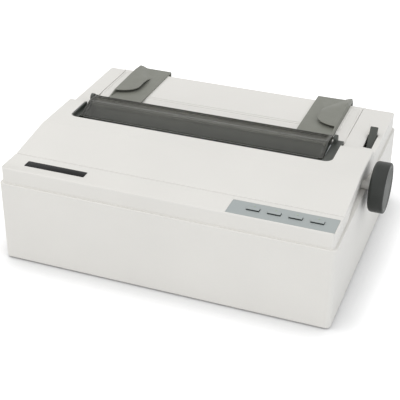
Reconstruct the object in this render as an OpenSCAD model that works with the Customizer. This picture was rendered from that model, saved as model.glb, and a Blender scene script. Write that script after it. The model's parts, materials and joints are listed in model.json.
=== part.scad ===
// Flatbed dot matrix printer: moulded case, hinged covers, paper table with sliding guides,
// platen and carriage mechanism. X runs to the right, Y to the rear, Z up. Millimetres.

/* [Case] */
// Width of the lower case
body_w = 390; // [375:1:470]
// Depth of the lower case
body_d = 302; // [296:1:364]
// Height of the ledge that the upper case stands on
ledge_z = 100; // [98:1:122]
// Wall thickness of the mouldings
wall = 2.5; // [2:0.1:3]
// Thickness of the lower case floor
floor_t = 3; // [2.5:0.5:4]
// Height of the feet under the case
foot_h = 2; // [1:0.5:3]
// Radius of the feet
foot_r = 9; // [7:0.5:12]
// Step inwards from the lower to the upper case
ledge_step = 2.7; // [2:0.1:4]
// Radius of the upright corners
corner_r = 6; // [4:0.5:8]
// Rounding of the long top edges
edge_r = 1.6; // [0.8:0.2:2]

/* [Upper case and front cover] */
// Height of the front strip above the ledge
strip_rise = 19; // [17:0.5:20]
// Height of the rear deck above the ledge
deck_rise = 21.5; // [20:0.5:24]
// Height of the front cover above the ledge
cover_rise = 29; // [28:0.5:32]
// Depth of the front strip, up to the cover's front edge
seam_y = 39.5; // [34:0.5:44]
// Place of the bend where the cover turns level
bend_y = 107; // [98:1:116]
// Rear end of the front cover
cover_end_y = 177.5; // [177:0.5:180]
// Seam between mouldings
seam = 0.6; // [0.4:0.1:1]
// Front edge of the notch in the cover
notch_y = 131.6; // [130:0.5:136]
// Corner radius of the notch
notch_r = 9; // [5:1:12]
// Strip of cover left of the notch, from the case edge
margin_left = 24; // [22:1:34]
// Strip of cover right of the notch, from the case edge
margin_right = 41.3; // [40:0.5:50]
// Depth of the finger scoop beside the knob
scoop_d = 3.5; // [2:0.5:4]

/* [Smoked cover] */
// Front edge of the smoked cover's flat lip
smoke_y0 = 146; // [145:0.5:147]
// Foot of the inclined face
smoke_face_y = 149.2; // [148.8:0.2:151]
// Top of the inclined face
smoke_y1 = 172; // [168:1:176]
// Rear edge of the smoked cover
smoke_y2 = 194; // [192:0.5:196]
// Thickness of the smoked sheet
smoke_t = 2; // [1.6:0.1:2.4]

/* [Paper table] */
// Front edge of the paper table
table_y = 200; // [199:0.5:203]
// Thickness of the table plate
table_t = 2.2; // [2:0.1:3]
// Width of a paper guide
guide_w = 45; // [38:1:50]
// How far the guides reach over the rear edge
guide_over = 11; // [9:0.5:14]
// Height of a guide's wing above its base, at the front
wing_h = 4; // [3:0.5:6]
// Width of the wing that holds the sheet's edge down
wing_w = 28.5; // [24:0.5:32]

/* [Control panel] */
// Width of the panel plate
panel_w = 116.8; // [110:0.2:124]
// Depth of the panel plate
panel_d = 27; // [24:0.5:30]
// Thickness of the panel plate
panel_t = 1.2; // [0.8:0.1:1.4]
// Width of a push button
button_w = 14.1; // [12:0.1:16]
// Depth of a push button
button_d = 5.6; // [5:0.1:7]
// Distance between two push buttons
button_pitch = 23.2; // [21:0.1:24]
// How far a push button stands above the plate
button_up = 1.4; // [1.2:0.1:2]

/* [Platen] */
// Distance of the platen axis from the front
platen_y = 139.5; // [138:0.5:141]
// Height of the platen axis above the ledge
platen_rise = 4.3; // [4.2:0.1:5]
// Radius of the rubber platen
platen_r = 16; // [15:0.1:16]
// Radius of the platen shaft
shaft_r = 3.5; // [3:0.1:3.8]
// Running clearance of a shaft in its bush
run_fit = 0.05; // [0.03:0.01:0.08]
// Radius of the platen knob
knob_r = 28.8; // [24:0.2:32]
// Thickness of the platen knob
knob_t = 17.7; // [14:0.1:20]
// Gap between the case and the knob
knob_gap = 5.8; // [5:0.1:8]
// Rounding of the knob's inner rim
knob_round = 4; // [2:0.5:6]

/* [Gears] */
// Tooth size of the gears
gear_m = 1; // [1:0.05:1.05]
// Width of a gear
gear_w = 5; // [4:0.5:6]

/* [Release lever] */
// Width of the lever's finger tab
lever_w = 9; // [8:0.5:9.5]
// Length of the lever from its pivot
lever_len = 40; // [38:0.5:44]
// Backward lean of the lever
lever_tilt = 45; // [40:1:46]

/* [Carriage] */
// Distance of the guide shaft from the front
guide_y = 100; // [98:0.5:101]
// Depth of the guide shaft below the ledge
guide_drop = 30; // [28:0.5:32]
// Radius of the guide shaft
guide_r = 5; // [4:0.1:6]
// Width of the carriage
carriage_w = 46; // [40:1:50]
// Width of the timing belt
belt_w = 6; // [5:0.5:8]

/* [Hidden] */

// Colours
case_white = [0.90, 0.89, 0.87];
warm_grey = [0.55, 0.55, 0.52];
dark_grey = [0.30, 0.31, 0.29];
panel_grey = [0.66, 0.69, 0.69];
zinc = [0.72, 0.73, 0.74];
steel = [0.80, 0.81, 0.82];
black = [0.08, 0.08, 0.08];
acetal = [0.86, 0.85, 0.80];
board_green = [0.10, 0.35, 0.20];

// Smoothness of true round parts
fine = 96;
// Overlap that makes two cuts or two joined shapes meet
lap = 0.5;

// Case planes
case_x0 = -body_w / 2;
case_x1 = body_w / 2;
up_x0 = case_x0 + ledge_step;
up_x1 = case_x1 - ledge_step;
up_y0 = ledge_step;
up_y1 = body_d - ledge_step;
strip_z = ledge_z + strip_rise;
deck_z = ledge_z + deck_rise;
cover_z = ledge_z + cover_rise;
floor_z = foot_h + floor_t;
// Shelf inside the rim of the lower case, for the upper case to stand on
shelf_in = wall + 5;
shelf_t = 2.4;

// Opening over the platen and the table
open_x0 = case_x0 + margin_left;
open_x1 = case_x1 - margin_right;
deck_y = cover_end_y + seam;
cover_slope = atan2(cover_z - strip_z, bend_y - seam_y);

// Front cover hinge: the rear edge is a half round about the hinge axis
hinge_r = (cover_z - deck_z) / 2;
hinge_y = cover_end_y - hinge_r;
hinge_z = cover_z - hinge_r;
hinge_pin_r = 1.1;
hinge_eye_r = 2.2;
hinge_w = 6;
hinge_inset = 5;

// Side frames
plate_t = 2;
frame_x0 = open_x0 + 2.5;
frame_x1 = open_x1 - 8.3;
inner_x0 = frame_x0 + plate_t;
inner_x1 = frame_x1 - plate_t;
chassis_z = 10;
frame_y0 = 58;
frame_y1 = 262;
seat_z = ledge_z - 2;

// Gear guards over the side frames
guard_z = ledge_z + 23.6;
guard_t = 1.2;
guard_y0 = notch_y + 0.7;
guard_y1 = smoke_y2 + 2.4;
guard_gap = 0.7;
guard_lip = 1;
guard_rim = 1.2;
guard_rim_z = cover_z - 0.8;

// Smoked cover
smoke_x0 = inner_x0 + 2.7;
smoke_x1 = inner_x1 - 3;
smoke_low = ledge_z + 22.9;
smoke_high = ledge_z + 32.6;
smoke_pin_y = smoke_y2 - 3.2;
smoke_pin_z = ledge_z + 28.4;
smoke_pin_r = 1.8;
smoke_end_t = 2.4;
smoke_band_w = 5;
smoke_rest_z = ledge_z + 22.7;

// Platen
platen_z = ledge_z + platen_rise;
roller_x0 = inner_x0 + 4.5;
roller_x1 = inner_x1 - 4.4;
bush_r = 6.5;
knob_x0 = case_x1 + knob_gap;
knob_x1 = knob_x0 + knob_t;
sleeve_r = 5.2;
sleeve_bore_r = shaft_r + 0.4;

// Gear train on the left: platen gear, compound gear, motor pinion
platen_teeth = 40;
small_teeth = 16;
big_teeth = 38;
pinion_teeth = 12;
left_angle = -65;
reduction_y = platen_y + gear_m * (platen_teeth + small_teeth) / 2 * cos(left_angle);
reduction_z = platen_z + gear_m * (platen_teeth + small_teeth) / 2 * sin(left_angle);
pinion_y = reduction_y + gear_m * (big_teeth + pinion_teeth) / 2 * cos(left_angle);
pinion_z = reduction_z + gear_m * (big_teeth + pinion_teeth) / 2 * sin(left_angle);
near_x = frame_x0 - 10.5;
far_x = near_x - gear_w - 1;
pinion_shaft_r = 2;

// Gear train on the right: drive gear, two idlers, tractor gear
drive_teeth = 32;
idler_teeth = 34;
tractor_teeth = 32;
right_angle = -17.5;
step_1 = gear_m * (drive_teeth + idler_teeth) / 2;
step_2 = step_1 + gear_m * idler_teeth;
step_3 = step_2 + gear_m * (idler_teeth + tractor_teeth) / 2;
tractor_y = platen_y + step_3 * cos(right_angle);
tractor_z = platen_z + step_3 * sin(right_angle);
right_x = frame_x1 + 1.6;
stud_r = 3;

// Tractors
tractor_rail_y = tractor_y - 21;
tractor_w = 22;
rail_r = 4;
tractor_shaft_r = 3;
belt_r = 9;

// Carriage
guide_z = ledge_z - guide_drop;
home_x = inner_x0 + 48.5;
head_w = 34;
ribbon_y = platen_y - platen_r - 0.9;
pulley_r = 8;
pulley_y = guide_y - 12;
belt_z = guide_z - 22;
pulley_x0 = inner_x0 + 17;
pulley_x1 = inner_x1 - 15;
belt_t = 1.4;
pulley_post_r = 2.5;
motor_r = 20;

// Release lever
lever_x = case_x1 - 18.8;
lever_pivot_y = 203;
lever_pivot_z = ledge_z + 3;
lever_stud_r = 3;
lever_stem_w = 4;
lever_stem_r = 5.4;
lever_back = 6.4;
lever_slot_y0 = deck_y + 16;
lever_slot_y1 = lever_pivot_y + (deck_z - lever_pivot_z) * tan(lever_tilt)
  + (lever_back + 1) / cos(lever_tilt);

// Finger dip beside the release lever
dip_x0 = lever_x - 6.8;
dip_x1 = lever_x - 1.3;
dip_y1 = lever_slot_y1 + 36;
dip_z = 2.6;

// Paper table
table_x0 = open_x0 + 0.9;
table_x1 = open_x1 - 0.5;
table_y1 = up_y1;
table_z = deck_z;
table_pin_y = table_y + 3.4;
table_pin_z = table_z - 4.6;
table_pin_r = 2;
guide_y0 = table_y + 6.5;
guide_y1 = table_y1 + guide_over;
guide_t = 1.8;
guide_gap = 0.08;
guide_left_x = open_x0 + 60.8;
guide_right_x = open_x1 - 61.6;

// Control panel
panel_x1 = up_x1 - 1.9;
panel_x0 = panel_x1 - panel_w;
panel_y0 = up_y0 + 1.5;
button_y = panel_y0 + 14.5;
button_x = panel_x0 + 26;
button_travel = 0.8;
button_fit = 0.35;
button_count = 4;
light_r = 1.15;
light_back = 6.5;
panel_board_z = strip_z - 10.4;

// The origin is on the floor under the middle of the whole machine, knob and guides included
shift_x = -(case_x0 + knob_x1) / 2;
shift_y = -guide_y1 / 2;

module in_frame() {
  translate([shift_x, shift_y, 0]) children();
}

// A point list with each corner rounded by its own radius
function unit(v) = v / norm(v);
function corner(a, p, b, r, n) =
  let (u = unit(a - p), v = unit(b - p), half = acos(u * v) / 2)
  let (c = p + unit(u + v) * r / sin(half))
  let (s = p + u * r / tan(half) - c, e = p + v * r / tan(half) - c)
  let (from = atan2(s[1], s[0]), turn = (atan2(e[1], e[0]) - from + 540) % 360 - 180)
  [for (k = [0:n]) c + r * [cos(from + turn * k / n), sin(from + turn * k / n)]];
function rounded(pts, radii, n = 5) = [
  for (i = [0:len(pts) - 1])
    each (radii[i] == 0
      ? [pts[i]]
      : corner(pts[(i + len(pts) - 1) % len(pts)], pts[i], pts[(i + 1) % len(pts)], radii[i], n))
];

// A rectangle with round corners, from exact circles
module plan(x0, x1, y0, y1, r) {
  translate([x0 + r, y0]) square([x1 - x0 - 2 * r, y1 - y0]);
  translate([x0, y0 + r]) square([x1 - x0, y1 - y0 - 2 * r]);
  for (x = [x0 + r, x1 - r], y = [y0 + r, y1 - r]) translate([x, y]) circle(r, $fn = 48);
}

// A box between two corners
module block(x0, x1, y0, y1, z0, z1) {
  translate([x0, y0, z0]) cube([x1 - x0, y1 - y0, z1 - z0]);
}

// An outline in the Y-Z plane, extruded along X
module along_x(x0, x1) {
  translate([x0, 0, 0]) rotate([90, 0, 90]) linear_extrude(x1 - x0) children();
}

// An outline in the X-Z plane, extruded along Y
module along_y(y0, y1) {
  translate([0, y1, 0]) rotate([90, 0, 0]) linear_extrude(y1 - y0) children();
}

// Round bars along X and Z
module bar_x(x0, x1, y, z, r) {
  translate([x0, y, z]) rotate([0, 90, 0]) cylinder(r = r, h = x1 - x0, $fn = fine);
}
module bar_z(x, y, z0, z1, r) {
  translate([x, y, z0]) cylinder(r = r, h = z1 - z0, $fn = fine);
}

// A gear outline with straight-sided teeth and a little backlash
module gear_2d(teeth, phase) {
  pitch_r = gear_m * teeth / 2;
  root_r = pitch_r - 1.25 * gear_m;
  tip_r = pitch_r + 0.9 * gear_m;
  step = 360 / teeth;
  polygon([
    for (i = [0:teeth - 1], c = [[root_r, -0.31], [tip_r, -0.11], [tip_r, 0.11], [root_r, 0.31]])
      c[0] * [cos(phase + step * (i + c[1])), sin(phase + step * (i + c[1]))]
  ]);
}

// A gear on an axis along X, with lightening holes when it is large enough
module gear(x0, y, z, teeth, phase, bore_r) {
  pitch_r = gear_m * teeth / 2;
  translate([0, y, z]) along_x(x0, x0 + gear_w) difference() {
    gear_2d(teeth, phase);
    circle(bore_r, $fn = fine);
    if (teeth > 30) for (a = [0:60:300])
      rotate(a) translate([pitch_r * 0.62, 0]) circle(pitch_r * 0.17, $fn = 32);
  }
}

// Hole pattern for the case screws
module at_screws() {
  for (x = [case_x0 + 13, case_x1 - 13], y = [14, body_d - 14]) translate([x, y, 0]) children();
}

module at_feet() {
  for (x = [case_x0 + 32, case_x1 - 32], y = [32, body_d - 32]) translate([x, y, 0]) children();
}

// Louvre slots in a wall, each cut right through
module vents_side(x, y0, count, z0, z1) {
  for (i = [0:count - 1]) block(x - wall, x + 2 * wall, y0 + i * 7, y0 + i * 7 + 3, z0, z1);
}

// Places of the sockets in the rear wall
inlet_x = case_x0 + 42;
inlet_z = 34;
switch_x = inlet_x + 36;
socket_x = 70;
socket_z = 30;
rocker_y = body_d - 6;
rocker_pin_r = 1.5;
rocker_tilt = 7;
rocker_lug = 8.6;

module lower_case() {
  in_frame() color(case_white) difference() {
    union() {
      difference() {
        translate([0, 0, foot_h]) linear_extrude(ledge_z - foot_h)
          plan(case_x0, case_x1, 0, body_d, corner_r);
        translate([0, 0, floor_z]) linear_extrude(ledge_z - shelf_t - floor_z)
          plan(case_x0 + wall, case_x1 - wall, wall, body_d - wall, corner_r - wall);
        translate([0, 0, floor_z]) linear_extrude(ledge_z)
          plan(case_x0 + shelf_in, case_x1 - shelf_in, shelf_in, body_d - shelf_in, 2);
      }
      // screw posts, tied to the floor
      at_screws() translate([0, 0, floor_z - lap])
        cylinder(r = 6, h = ledge_z - floor_z + lap, $fn = 48);
      // posts under the chassis plate and the main board
      for (x = [inner_x0 + 12, inner_x1 - 12], y = [72, 180])
        bar_z(x, y, floor_z - lap, chassis_z, 5);
      for (x = [board_x0 + 8, board_x1 - 8], y = [board_y0 + 8, board_y1 - 8])
        bar_z(x, y, floor_z - lap, board_z, 4);
      // lugs that hold the rocker switch
      for (x = [switch_x - rocker_lug, switch_x + rocker_lug]) difference() {
        block(x - 1.3, x + 1.3, rocker_y - 4, body_d - 1, inlet_z - 5, inlet_z + 5);
        bar_x(x - 2, x + 2, rocker_y, inlet_z, rocker_pin_r + run_fit);
      }
      // stiffening ribs on the floor
      for (x = [case_x0 + 60:54:case_x1 - 60])
        block(x - 1, x + 1, 6 + wall, 54, floor_z - lap, floor_z + 4);
    }
    at_feet() translate([0, 0, foot_h - lap]) cylinder(r = foot_r - 1, h = lap + 2, $fn = fine);
    at_screws() translate([0, 0, foot_h - lap]) cylinder(r = 4, h = ledge_z - 14, $fn = fine);
    at_screws() translate([0, 0, foot_h - lap]) cylinder(r = 2, h = ledge_z, $fn = fine);
    vents_side(case_x0, body_d - 118, 14, 24, 62);
    for (i = [0:10]) block(-40 + i * 8, -37 + i * 8, body_d - 2 * wall, body_d + 1, 56, 84);
    // sockets in the rear wall
    block(inlet_x - 14, inlet_x + 14, body_d - 2 * wall, body_d + 1, inlet_z - 11, inlet_z + 11);
    block(switch_x - 7, switch_x + 7, body_d - 2 * wall, body_d + 1, inlet_z - 11, inlet_z + 11);
    block(socket_x - 30, socket_x + 30, body_d - 2 * wall, body_d + 1, socket_z - 8, socket_z + 8);
  }
}

module feet() {
  in_frame() color(black) at_feet() {
    cylinder(r1 = foot_r - 1, r2 = foot_r, h = foot_h, $fn = fine);
    cylinder(r = foot_r - 1, h = foot_h + 2, $fn = fine);
  }
}

module case_screws() {
  head_z = foot_h - lap + ledge_z - 14;
  in_frame() color(steel) at_screws() difference() {
    union() {
      translate([0, 0, head_z - 2.4]) cylinder(r = 3.6, h = 2.4, $fn = fine);
      translate([0, 0, head_z - 1]) cylinder(r = 1.7, h = ledge_z + 12 - head_z, $fn = fine);
    }
    for (a = [0, 90]) rotate(a) translate([-2.2, -0.5, head_z - 3]) cube([4.4, 1, 1.8]);
  }
}

// Side outline of the front cover's outer skin, from its front edge to the half-round rear edge
function cover_line(low, inset) = rounded(
  [
    [seam_y + inset, low],
    [seam_y + inset, strip_z - inset],
    [bend_y + inset * tan(cover_slope / 2), cover_z - inset],
    [cover_end_y - inset, cover_z - inset],
    [cover_end_y - inset, low]
  ],
  [0, max(edge_r - inset, 0), 60, max(hinge_r - inset, 0), 0], 8
);

// Vertical scoop beside the knob, as one large shallow cylinder
module scoop(grow) {
  half_len = 62;
  scoop_r = (half_len * half_len + scoop_d * scoop_d) / (2 * scoop_d);
  translate([up_x1 - scoop_d, platen_y - 18, ledge_z])
    rotate([0, atan(scoop_d / (cover_z - ledge_z)), 0])
      translate([scoop_r, 0, -10]) cylinder(r = scoop_r + grow, h = 60, $fn = 360);
}

// Side rails of the upper case, inside the cover's walls
rail_w = 4;
rail_x0 = up_x0 + scoop_d + wall + 0.8 + rail_w / 2;
rail_x1 = up_x1 - scoop_d - wall - 0.8 - rail_w / 2;

module upper_case() {
  rail_z = ledge_z + 12;
  in_frame() color(case_white) difference() {
    union() {
      difference() {
        union() {
          // front strip
          intersection() {
            translate([0, 0, ledge_z]) linear_extrude(strip_rise)
              plan(up_x0, up_x1, up_y0, up_y1, corner_r - 1);
            along_x(up_x0, up_x1) polygon(rounded(
              [[up_y0, ledge_z], [seam_y - seam, ledge_z], [seam_y - seam, strip_z], [up_y0, strip_z]],
              [0, 0, edge_r / 2, edge_r]));
          }
          // rear deck
          intersection() {
            translate([0, 0, ledge_z]) linear_extrude(deck_rise)
              plan(up_x0, up_x1, up_y0, up_y1, corner_r - 1);
            along_x(up_x0, up_x1) polygon(rounded(
              [[deck_y, ledge_z], [up_y1, ledge_z], [up_y1, deck_z], [deck_y, deck_z]],
              [0, 0, edge_r, edge_r / 2]));
          }
        }
        // hollow of the strip, open below and to the rear
        block(up_x0 + wall, up_x1 - wall, up_y0 + wall, seam_y + 1, ledge_z - 1, strip_z - wall);
        // hollow of the deck
        block(up_x0 + wall, up_x1 - wall, deck_y - 1, up_y1 - wall, ledge_z - 1, deck_z - wall);
      }
      // side rails under the cover
      for (x = [rail_x0, rail_x1])
        block(x - rail_w / 2, x + rail_w / 2, up_y0 + 1, up_y1 - 1, ledge_z, rail_z);
      block(up_x0 + 1, rail_x0, up_y0 + 12, seam_y - seam, ledge_z, rail_z);
      block(rail_x1, up_x1 - 1, up_y0 + 12, seam_y - seam, ledge_z, rail_z);
      block(up_x0 + 1, rail_x0, deck_y, deck_y + 12, ledge_z, rail_z);
      block(rail_x1, up_x1 - 1, deck_y, deck_y + 12, ledge_z, rail_z);
      // rebate that carries the cover's front edge
      along_x(up_x0 + wall + 1.6, up_x1 - wall - 1.6) polygon([
        [seam_y - seam - 2.2, strip_z - 6.4], [seam_y + 3, strip_z - 6.4],
        [seam_y + 3, strip_z - wall - run_fit], [seam_y - seam, strip_z - wall - run_fit],
        [seam_y - seam, strip_z - 1], [seam_y - seam - 2.2, strip_z - 1]
      ]);
      // walls of the table well
      block(open_x0 - wall, open_x0, deck_y, up_y1, ledge_z + 4, deck_z);
      block(open_x1, open_x1 + wall, deck_y, up_y1, ledge_z + 4, deck_z);
      block(open_x0 - wall, open_x1 + wall, up_y1 - wall, up_y1, ledge_z, deck_z);
      // screw bosses
      intersection() {
        at_screws() translate([0, 0, ledge_z]) cylinder(r = 4.4, h = strip_rise - 1, $fn = 48);
        block(up_x0 + 1, up_x1 - 1, up_y0 + 1, up_y1 - 1, ledge_z, deck_z);
      }
      // posts of the panel board
      for (x = [panel_x0 + 5, button_x + 1.5 * button_pitch, panel_x1 - 20])
        for (y = [panel_y0 + 5, panel_y0 + 23]) bar_z(x, y, panel_board_z, strip_z - 1, 2);
      hinge_arms();
      // stud of the release lever
      bar_x(lever_x - 1.5, rail_x1, lever_pivot_y, lever_pivot_z, lever_stud_r);
      // sleeve around the platen shaft, from the rail to the knob
      intersection() {
        bar_x(rail_x1, knob_x0 - 0.8, platen_y, platen_z, sleeve_r);
        block(rail_x1, knob_x0, platen_y - sleeve_r, platen_y + sleeve_r, ledge_z, platen_z + sleeve_r);
      }
      // backing of the finger dip beside the lever
      block(dip_x0 - 2, dip_x1, lever_slot_y0 - 2, dip_y1 + 2, deck_z - dip_z - wall, deck_z - 1);
    }
    // table well and paper slot, open to the rear
    block(open_x0, open_x1, deck_y - 1, up_y1 - wall, ledge_z - 1, deck_z + 1);
    block(open_x0, open_x1, up_y1 - 2 * wall, up_y1 + 1, table_z - 10, deck_z + 1);
    // bores of the table hinge
    bar_x(open_x0 - wall - 1, open_x1 + wall + 1, table_pin_y, table_pin_z, table_pin_r + run_fit);
    // panel recess with button and light windows
    block(panel_x0 - 0.2, panel_x1 + 0.2, panel_y0 - 0.2, panel_y0 + panel_d + 0.2,
      strip_z - panel_t, strip_z + 1);
    panel_windows();
    // lever slot
    block(dip_x1, lever_x + lever_w + 0.8, lever_slot_y0, lever_slot_y1, deck_z - 8, deck_z + 1);
    // finger dip that falls towards the lever and narrows to the rear
    intersection() {
      along_y(lever_slot_y0, dip_y1) polygon([
        [dip_x0, deck_z], [dip_x1 + lap, deck_z - dip_z], [dip_x1 + lap, deck_z + 1], [dip_x0, deck_z + 1]
      ]);
      translate([0, 0, deck_z - wall]) linear_extrude(2 * wall + dip_z) polygon([
        [dip_x0, lever_slot_y0], [dip_x1 + lap, lever_slot_y0], [dip_x1 + lap, lever_slot_y1],
        [dip_x1, lever_slot_y1], [dip_x0, dip_y1]
      ]);
    }
    // room for the lever's tab above the rail
    block(rail_x1 - rail_w, rail_x1 + rail_w, lever_slot_y0 - 4, lever_slot_y1 + 2,
      ledge_z + 7, rail_z + lap);
    // way of the platen shaft, open below
    bar_x(rail_x1 - rail_w, knob_x0, platen_y, platen_z, sleeve_bore_r);
    block(rail_x1 - rail_w, knob_x0, platen_y - sleeve_bore_r, platen_y + sleeve_bore_r, ledge_z - 1,
      platen_z);
    // screw holes
    at_screws() translate([0, 0, ledge_z - 1]) cylinder(r = 1.75, h = 14, $fn = fine);
  }
}

// Arms that carry the front cover's hinge eyes
module hinge_arms() {
  for (x = [up_x0 + hinge_inset, up_x1 - hinge_inset - hinge_w]) difference() {
    along_x(x, x + hinge_w) {
      translate([hinge_y, hinge_z]) circle(hinge_eye_r, $fn = 48);
      polygon([[hinge_y - 11, ledge_z + 1], [hinge_y - 11, hinge_z + 0.7], [hinge_y, hinge_z + 0.7],
        [hinge_y, hinge_z - 1.4], [hinge_y - 7, hinge_z - 1.4], [hinge_y - 7, ledge_z + 1]]);
    }
    bar_x(x - 1, x + hinge_w + 1, hinge_y, hinge_z, hinge_pin_r + run_fit);
  }
}

module front_cover() {
  gap = 0.4;
  low = ledge_z + gap;
  in_frame() color(case_white) union() {
    difference() {
      union() {
        difference() {
          intersection() {
            along_x(up_x0, up_x1) polygon(cover_line(low, 0));
            along_y(seam_y, cover_end_y) polygon(rounded(
              [[up_x0, low], [up_x0, cover_z], [up_x1, cover_z], [up_x1, low]], [0, edge_r, edge_r, 0]));
          }
          // hollow under the cover
          difference() {
            along_x(up_x0 + wall, up_x1 - wall) polygon([
              [seam_y + 2, low - 1], [seam_y + 2, strip_z - wall], [bend_y, cover_z - wall],
              [hinge_y, cover_z - wall], [hinge_y, deck_z + gap], [cover_end_y + 1, deck_z + gap],
              [cover_end_y + 1, low - 1]
            ]);
            scoop(wall);
          }
          // the front edge stays clear of the rebate
          block(up_x0 + wall, up_x1 - wall, seam_y - 1, seam_y + 3.5, low - 1, strip_z - wall);
        }
        // rim around the notch
        intersection() {
          translate([0, 0, deck_z + gap]) linear_extrude(20)
            plan(open_x0 - 2, open_x1 + 2, notch_y - 2, cover_end_y + 30, notch_r + 2);
          along_x(up_x0, up_x1) polygon(cover_line(low, 0.1));
        }
      }
      // notch
      translate([0, 0, ledge_z]) linear_extrude(60)
        plan(open_x0, open_x1, notch_y, cover_end_y + 40, notch_r);
      scoop(0);
      // slot for the platen shaft, flared for the swing
      bar_x(up_x1 - 14, up_x1 + 1, platen_y, platen_z, sleeve_r + 0.4);
      along_x(up_x1 - 14, up_x1 + 1) polygon([
        [platen_y - sleeve_r - 0.4, platen_z], [platen_y - sleeve_r - 0.4, low - 1],
        [platen_y + sleeve_r + 12, low - 1], [platen_y + sleeve_r + 0.4, platen_z]
      ]);
      // room for the hinge eyes
      for (x = [up_x0 + hinge_inset - 0.4, up_x1 - hinge_inset - hinge_w - 0.4]) {
        bar_x(x, x + hinge_w + 0.8, hinge_y, hinge_z, hinge_eye_r + 0.35);
        block(x, x + hinge_w + 0.8, hinge_y - 12, hinge_y + hinge_r + 1, deck_z - 1, hinge_z - 0.3);
        block(x, x + hinge_w + 0.8, hinge_y - 12, hinge_y, deck_z - 1, cover_z - wall);
      }
    }
    // hinge pins
    for (x = [up_x0 + hinge_inset - 1, up_x1 - hinge_inset - hinge_w - 1])
      bar_x(x, x + hinge_w + 2, hinge_y, hinge_z, hinge_pin_r);
  }
}

// Side outline of the smoked cover; drop lowers the sheet between the end walls
function smoke_line(drop) = [
  [smoke_y0, smoke_low + 1.2 - drop], [smoke_face_y, smoke_low + 1.6 - drop],
  [smoke_y1, smoke_high - drop], [smoke_y2 - 2, smoke_high - 0.6 - drop],
  [smoke_y2, smoke_high - 2 - drop]
];

module smoked_cover() {
  proud = 1.2;
  under = proud + smoke_t;
  top_y = smoke_y1 + 1.4;
  ends = [[smoke_x0, smoke_x0 + smoke_end_t], [smoke_x1 - smoke_end_t, smoke_x1]];
  in_frame() color([0.25, 0.25, 0.24]) difference() {
    union() {
      // sheet, with a step along the top of its face
      along_x(smoke_x0 + smoke_end_t / 2, smoke_x1 - smoke_end_t / 2) polygon(concat(
        [[smoke_y0, smoke_low], [smoke_face_y, smoke_low + 0.4]], [
          [smoke_y1 - 3.2, smoke_high - proud - 1.1], [smoke_y1 - 2.4, smoke_high - 0.9],
          [smoke_y1, smoke_high - 0.1], [top_y, smoke_high - 0.1], [top_y, smoke_high - proud],
          [smoke_y2 - 2, smoke_high - 0.6 - proud], [smoke_y2, smoke_high - 2 - proud],
          [smoke_y2, smoke_high - 2 - under], [top_y, smoke_high - 0.6 - under],
          [smoke_face_y + 0.6, smoke_low - 0.2 - smoke_t], [smoke_y0, smoke_low - 1.2]
        ]));
      // grip ridges along the top
      for (y = [top_y + 2.4:3.4:smoke_y2 - 3])
        block(smoke_x0 + 1, smoke_x1 - 1, y, y + 1.6, smoke_high - under, smoke_high - proud + 0.3);
      for (e = ends) along_x(e[0], e[1]) {
        polygon(concat(smoke_line(0), [[smoke_y2, smoke_pin_z], [smoke_y2 - 8, smoke_pin_z - 4.5],
          [smoke_y0 + 16, smoke_rest_z], [smoke_y0, smoke_rest_z]]));
        translate([smoke_pin_y, smoke_pin_z]) circle(3.2, $fn = 48);
      }
      // lower band between each end wall and the face
      for (e = [[smoke_x0 + 1, smoke_x0 + smoke_band_w], [smoke_x1 - smoke_band_w, smoke_x1 - 1]])
        along_x(e[0], e[1])
          polygon(concat(smoke_line(proud / 2), [for (i = [4:-1:0]) smoke_line(proud + 1)[i]]));
      bar_x(frame_x0 + 0.3, smoke_x0 + 1, smoke_pin_y, smoke_pin_z, smoke_pin_r);
      bar_x(smoke_x1 - 1, frame_x1 - 0.3, smoke_pin_y, smoke_pin_z, smoke_pin_r);
    }
    // groove between the lip and the face
    block(smoke_x0 + smoke_band_w, smoke_x1 - smoke_band_w, smoke_face_y - 1, smoke_face_y - 0.2,
      smoke_low - 0.5, smoke_low + 1);
  }
}

module paper_table() {
  step_y = table_y + 14.5;
  ramp_y = table_y + 24;
  front_z = table_z - 1.5;
  in_frame() color(case_white) difference() {
    union() {
      // plate with its lowered front strip
      along_x(table_x0, table_x1) polygon([
        [table_y, front_z - 1], [table_y + 1, front_z], [step_y, front_z], [ramp_y, table_z],
        [table_y1, table_z],
        [table_y1, table_z - table_t], [ramp_y, table_z - table_t],
        [step_y, front_z - table_t + 0.4], [table_y, front_z - table_t]
      ]);
      // rims and ribs
      for (x = [table_x0, table_x1 - 2]) along_x(x, x + 2) polygon([
        [table_y, table_z - 7.2], [table_y, front_z - 1], [ramp_y, table_z - 1], [table_y1, table_z - 1],
        [table_y1, table_z - 8], [table_y + 6, table_z - 8]
      ]);
      block(table_x0, table_x1, table_y1 - 2, table_y1, table_z - 8, table_z - 1);
      block(table_x0, table_x1, table_y, table_y + 2, table_z - 7, front_z - 1);
      for (x = [table_x0 + 50:45:table_x1 - 40])
        block(x, x + 1.6, table_y + 1, table_y1 - 1, table_z - 6, table_z - 1.5);
      // hinge pins with their bosses
      bar_x(open_x0 - wall, table_x0 + 1, table_pin_y, table_pin_z, table_pin_r);
      bar_x(table_x1 - 1, open_x1 + wall, table_pin_y, table_pin_z, table_pin_r);
    }
    // grooves across the table
    for (y = [ramp_y + 1.2, ramp_y + 5.6])
      block(table_x0 + 12, table_x1 - 12, y, y + 1, table_z - 0.9, table_z + 1);
    // long shallow recesses beside the guides
    for (x = [table_x0 + 2.4, table_x1 - 13])
      translate([0, 0, table_z - 0.7]) linear_extrude(2) plan(x, x + 10.6, ramp_y - 4, table_y1 - 8, 4);
  }
}

// Half space under a plane that climbs outwards and to the front from a line across the guide
module under_ramp(z, slope) {
  ramp_dir = 57.5;
  reach = 90;
  translate([guide_w - wing_w, guide_y1 - 30, z]) rotate([0, 0, ramp_dir]) rotate([-slope, 0, 0])
    translate([-reach, -reach, -reach]) cube([2 * reach, reach + 8, reach]);
}

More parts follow.
